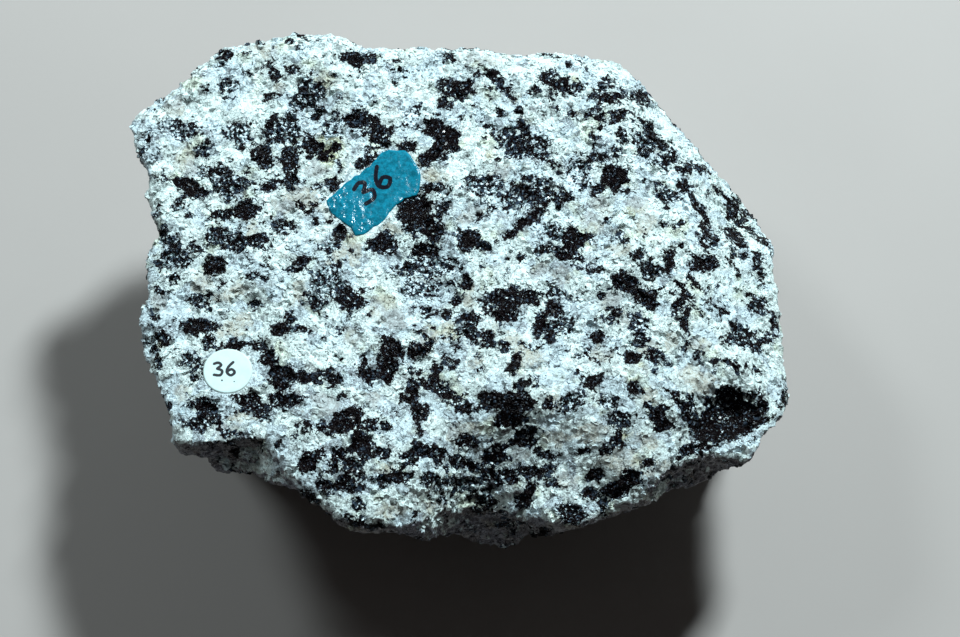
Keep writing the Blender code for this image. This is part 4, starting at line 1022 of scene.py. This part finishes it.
def smooth_stroke(points, steps=8):
    """A curve through the points of a stroke."""
    ends = [points[0], *points, points[-1]]
    path = []
    for before, start, end, after in zip(ends, ends[1:], ends[2:], ends[3:]):
        before, start, end, after = map(np.array, (before, start, end, after))
        for share in np.arange(steps) / steps:
            bend = 2 * start + (end - before) * share
            bend = bend + (2 * before - 5 * start + 4 * end - after) * share**2
            path.append((bend + (3 * start - before - 3 * end + after) * share**3) / 2)
    return np.array([*path, points[-1]])


def number_depth(across, down, number, layout):
    """Depth in pixels inside the inked strokes of a number, at places in the picture."""
    (middle_across, middle_down), height, pitch, rise_degrees, width = layout
    turn = math.radians(rise_degrees)
    right, up = across - middle_across, middle_down - down
    along = right * math.cos(turn) + up * math.sin(turn)
    above = up * math.cos(turn) - right * math.sin(turn)
    nearest = np.full(len(across), 50.0)
    for place, figure in enumerate(number):
        start = (place - len(number) / 2) * pitch + (pitch - FIGURE_WIDTH * height) / 2
        for stroke in FIGURES[figure]:
            path = smooth_stroke(stroke) * (FIGURE_WIDTH / FIGURE_BOX * height, height)
            path += (start, -height / 2)
            for (x0, y0), (x1, y1) in zip(path, path[1:]):
                run, rise = x1 - x0, y1 - y0
                share = ((along - x0) * run + (above - y0) * rise) / max(run * run + rise * rise, 1e-9)
                share = np.clip(share, 0, 1)
                away = np.hypot(along - x0 - share * run, above - y0 - share * rise)
                nearest = np.minimum(nearest, away)
    return width / 2 - nearest


def surface_tree(mesh):
    """A search tree of the mesh's faces, for rays."""
    triangles = [tuple(face.vertices) for face in mesh.polygons]
    return BVHTree.FromPolygons([vertex.co for vertex in mesh.vertices], triangles)


def shown_points(tree, across, down):
    """Where the stone shows at places in the picture."""
    found = np.empty((len(across), 3))
    eye = Vector(EYE)
    for index, (x, y) in enumerate(zip(across, down)):
        right, up = (x - PICTURE_MIDDLE[0]) * PIXEL, (PICTURE_MIDDLE[1] - y) * PIXEL
        ray = Vector(AIM + right * np.array([1.0, 0.0, 0.0]) + up * VIEW_UP) - eye
        hit = tree.ray_cast(eye, ray.normalized())[0]
        if hit is None:
            raise RuntimeError("a label reaches past the stone")
        found[index] = hit
    return found


def disc_grid(count):
    """Even places in a disc, from a square of count by count places: how far right and up each is,
    the places' numbers by row, and those of the edge in order."""
    line = np.linspace(-1, 1, count)
    wide, high = np.meshgrid(line, line)
    right, up = wide * np.sqrt(1 - high**2 / 2), high * np.sqrt(1 - wide**2 / 2)
    index = np.arange(count * count).reshape(count, count)
    edge = np.concatenate([index[0, :-1], index[:-1, -1], index[-1, :0:-1], index[:0:-1, 0]])
    return right.ravel(), up.ravel(), index, edge


def closed_sheet(name, top, bottom, index, edge, reach):
    """A closed sheet between two layers of points laid out alike."""
    count = len(top)
    corners = index[:-1, :-1], index[:-1, 1:], index[1:, 1:], index[1:, :-1]
    square = np.stack(corners, axis=-1).reshape(-1, 4)
    after = np.roll(edge, -1)
    side = np.stack([edge, edge + count, after + count, after], axis=1)
    faces = np.concatenate([square, square[:, ::-1] + count, side])
    mesh = bpy.data.meshes.new(name)
    mesh.from_pydata(np.concatenate([top, bottom]).tolist(), [], faces.tolist())
    body = bmesh.new()
    body.from_mesh(mesh)
    bmesh.ops.recalc_face_normals(body, faces=body.faces)
    body.to_mesh(mesh)
    body.free()
    mesh.shade_smooth()
    mesh.set_sharp_from_angle(angle=LABEL_CREASE)
    set_values(mesh, "rim", np.concatenate([reach, reach]))
    return new_object(name, mesh)


class TONALITE_OT_stone(bpy.types.Operator):
    """Remake the stone's surface with its broken grain, minerals, mica flakes and cleaved chips"""

    bl_idname = "tonalite.stone"
    bl_label = "Broken stone"

    def execute(self, context):
        settings = context.scene.tonalite_stone
        stone = copied_solid("tonalite", "broken_stone")
        remesh = stone.modifiers.new("cells", "REMESH")
        remesh.mode = "VOXEL"
        remesh.voxel_size = settings.cell
        even = stone.modifiers.new("even", "SMOOTH")
        even.iterations = STONE_SMOOTHING
        mesh = applied(stone)
        share = even_share(points_of(mesh), normals_of(mesh))
        softer = stone.vertex_groups.new(name="softer")
        for index in np.flatnonzero(share > 0.02):
            softer.add([int(index)], float(share[index]), "REPLACE")
        even = stone.modifiers.new("softer", "SMOOTH")
        even.iterations, even.vertex_group = HOLLOW_SMOOTHING, "softer"
        mesh = applied(stone)
        points, normals = points_of(mesh), normals_of(mesh)
        relief = stone_relief(points, normals, settings.grain)
        bare = (1 - label_cover(points, normals)) * (1 - 0.45 * even_share(points, normals))
        relief *= settings.relief * bare
        move_points(mesh, points + relief[:, None] * normals)
        thin = stone.modifiers.new("thin", "DECIMATE")
        thin.ratio = settings.triangles / (2 * len(mesh.polygons))
        mesh = applied(stone)
        mesh.materials.clear()
        mesh.materials.append(rock_material(settings))
        mesh.shade_smooth()
        mesh.set_sharp_from_angle(angle=STONE_CREASE)
        points, normals = points_of(mesh), normals_of(mesh)
        move_points(mesh, points)
        dark, grain, quartz, brown = minerals(points, normals)
        tone = face_tone_and_painted_shade(points, normals)
        # More dark minerals where the tone is darker, which takes in painted light and shade and the
        # underside's painted shade
        dark -= 0.30 * MM * np.maximum(tone, -0.8)
        rust, red = rust_share(points, normals)
        free = (label_cover(points, normals) < 0.02) * (points[:, 2] > STREWN_FROM)
        flaky = smooth_step(dark, 0.1 * MM, 0.5 * MM) * free
        chippy = (0.3 + 0.7 * smooth_step(normals @ TO_EYE, 0.0, 0.3)) * free
        for name, values in (
            ("dark", dark), ("grain", grain), ("quartz", quartz), ("brown", brown), ("tone", tone),
            ("rust", rust), ("red", red), ("flaky", flaky), ("chippy", chippy),
        ):
            set_values(mesh, name, values)

        pieces = [stone]
        for name, mask, sides, material, sizes in (
            ("mica_flakes", "flaky", 6, mica_material(settings),
             {"Density": settings.flakes, "Width": 0.8 * MM}),
            ("cleaved_chips", "chippy", 5, mesh.materials[0],
             {"Density": settings.chips, "Width": 1.5 * MM, "Thickness": 0.36 * MM, "Sink": 0.11 * MM,
              "Tilt": 0.36, "Seed": 8}),
        ):
            plates = new_object(name, mesh.copy())
            tree = strewn_tree(name, mask, sides, material)
            strew = plates.modifiers.new("strew", "NODES")
            strew.node_group = tree
            for label, value in sizes.items():
                strew[socket_key(tree, label)] = value
            applied(plates)
            pieces.append(plates)

        for piece in pieces:
            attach(piece, "root")
        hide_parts("tonalite")
        return {"FINISHED"}


class TONALITE_OT_paint(bpy.types.Operator):
    """Lay the dab of paint with its number on the stone"""

    bl_idname = "tonalite.paint"
    bl_label = "Paint dab"

    def execute(self, context):
        settings = context.scene.tonalite_labels
        tree = surface_tree(bpy.data.objects["broken_stone"].data)
        right, up, index, edge = disc_grid(PAINT_ROWS)
        reach, angles = np.hypot(right, up), np.arctan2(up, right)
        wander = noise(np.stack([5 * np.cos(angles), 5 * np.sin(angles), 0 * angles], axis=1), 1.0, 5)
        radius = outline_radius(PAINT_OUTLINE, PAINT_MIDDLE, angles) + 0.7 * wander
        across = PAINT_MIDDLE[0] + reach * radius * np.cos(angles)
        down = PAINT_MIDDLE[1] - reach * radius * np.sin(angles)
        ground = shown_points(tree, across, down)
        height = ground[:, 2].reshape(index.shape)
        for _ in range(PAINT_SMOOTHING):
            wide = np.pad(height, 1, mode="edge")
            height = (wide[:-2, 1:-1] + wide[2:, 1:-1] + wide[1:-1, :-2] + wide[1:-1, 2:]) / 4
        ground[:, 2] = height.ravel()
        lower_left = smooth_step(PAINT_MIDDLE[0] - across + down - PAINT_MIDDLE[1], 16, 54)
        wrinkle = 1 - 2 * np.abs(noise(ground, 1.5 * MM, 13))
        crown = np.sqrt(np.maximum(1 - reach**24, 0.0))
        crown *= 1 + 0.14 * noise(ground, 2.6 * MM, 17) + (0.11 + 0.22 * lower_left) * wrinkle
        top = ground + np.outer(crown * settings.paint_thickness, (0, 0, 1))
        bottom = ground - np.array([0, 0, PAINT_DEPTH])
        paint = closed_sheet("paint_dab", top, bottom, index, edge, reach)
        mesh = paint.data
        across, down = to_picture(points_of(mesh))
        set_values(mesh, "ink", number_depth(across, down, settings.paint_number, PAINT_NUMBER))
        set_values(mesh, "crinkle", np.concatenate([lower_left, lower_left]))
        mesh.materials.append(paint_material(settings))
        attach(paint, "root")
        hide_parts("paint_label")
        return {"FINISHED"}


class TONALITE_OT_dot(bpy.types.Operator):
    """Lay the round paper dot with its number on the stone"""

    bl_idname = "tonalite.dot"
    bl_label = "Paper dot"

    def execute(self, context):
        settings = context.scene.tonalite_labels
        low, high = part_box("paper_label")
        middle = (np.array(low) + np.array(high)) / 2
        right, up, index, edge = disc_grid(DOT_ROWS)
        reach = np.hypot(right, up)
        ground = np.stack([middle[0] + DOT_RADIUS * right, middle[1] + DOT_RADIUS * up,
                           np.full(len(right), low[2] - 0.10 * MM)], axis=1)
        ground[:, 2] += 0.05 * MM * noise(ground, 3.0 * MM, 7)
        crown = np.sqrt(np.maximum(1 - reach**40, 0.05))
        top = ground + np.outer(crown * settings.dot_thickness, (0, 0, 1))
        bottom = ground - np.array([0, 0, DOT_DEPTH])
        dot = closed_sheet("paper_dot", top, bottom, index, edge, reach)
        mesh = dot.data
        across, down = to_picture(points_of(mesh))
        ink = number_depth(across, down, settings.dot_number, DOT_NUMBER)
        for speck_across, speck_down, radius in DOT_SPECKS:
            ink = np.maximum(ink, radius - np.hypot(across - speck_across, down - speck_down))
        set_values(mesh, "ink", ink)
        mesh.materials.append(paper_material(settings))
        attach(dot, "root")
        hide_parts("paper_label")
        return {"FINISHED"}


class TONALITE_OT_stage(bpy.types.Operator):
    """Set up the floor, the lights and the camera"""

    bl_idname = "tonalite.stage"
    bl_label = "Floor, lights and camera"

    def execute(self, context):
        settings = context.scene.tonalite_stage
        scene = context.scene
        body = bmesh.new()
        bmesh.ops.create_grid(body, x_segments=2, y_segments=2, size=2.0)
        mesh = bpy.data.meshes.new("floor")
        body.to_mesh(mesh)
        body.free()
        mesh.transform(Matrix.Translation((0, 0, -FLOOR_GAP)))
        floor = new_object("floor", mesh)
        mesh.materials.append(floor_material(settings))

        world = bpy.data.worlds.new("soft_room")
        world.use_nodes = True
        sky = world.node_tree.nodes["Background"].inputs
        sky["Color"].default_value = SKY_COLOUR
        sky["Strength"].default_value = settings.sky
        scene.world = world

        for name, power, size, place in (
            ("key", settings.key_power, 0.12, (0.26, 0.46, 0.61)),
            ("side", settings.side_power, 0.16, (-0.42, 0.34, 0.56)),
        ):
            light = bpy.data.lights.new(name, "AREA")
            light.energy, light.size, light.color = power, size, LAMP_COLOUR
            lamp = new_object(name, light)
            lamp.location = place
            towards_stone = Vector((0, 0, 0.02)) - Vector(place)
            lamp.rotation_euler = towards_stone.to_track_quat("-Z", "Y").to_euler()

        camera = bpy.data.cameras.new("camera")
        camera.sensor_width = SENSOR_WIDTH
        camera.lens = VIEW_DISTANCE / PIXEL * SENSOR_WIDTH / PICTURE_WIDTH
        camera.clip_start = 0.01
        holder = new_object("camera", camera)
        holder.location = EYE
        holder.rotation_euler = Vector(-TO_EYE).to_track_quat("-Z", "Y").to_euler()
        scene.camera = holder
        scene.view_settings.view_transform = "Standard"
        return {"FINISHED"}


class TONALITE_PT_panel(bpy.types.Panel):
    """The settings, and a button for each step"""

    bl_label = "Tonalite"
    bl_idname = "TONALITE_PT_panel"
    bl_space_type = "VIEW_3D"
    bl_region_type = "UI"
    bl_category = "Tonalite"

    def draw(self, context):
        scene = context.scene
        for settings, operators in (
            (scene.tonalite_stone, (TONALITE_OT_stone,)),
            (scene.tonalite_labels, (TONALITE_OT_paint, TONALITE_OT_dot)),
            (scene.tonalite_stage, (TONALITE_OT_stage,)),
        ):
            box = self.layout.box()
            for name in settings.__annotations__:
                box.prop(settings, name)
            for operator in operators:
                box.operator(operator.bl_idname)


CLASSES = (
    StoneSettings, LabelSettings, StageSettings, TONALITE_OT_stone, TONALITE_OT_paint, TONALITE_OT_dot,
    TONALITE_OT_stage, TONALITE_PT_panel,
)


def register():
    for made in CLASSES:
        bpy.utils.register_class(made)
    bpy.types.Scene.tonalite_stone = PointerProperty(type=StoneSettings)
    bpy.types.Scene.tonalite_labels = PointerProperty(type=LabelSettings)
    bpy.types.Scene.tonalite_stage = PointerProperty(type=StageSettings)


def unregister():
    del bpy.types.Scene.tonalite_stone, bpy.types.Scene.tonalite_labels, bpy.types.Scene.tonalite_stage
    for made in reversed(CLASSES):
        bpy.utils.unregister_class(made)


def main():
    register()
    bpy.ops.tonalite.stone()
    bpy.ops.tonalite.paint()
    bpy.ops.tonalite.dot()
    bpy.ops.tonalite.stage()


if __name__ == "__main__":
    main()
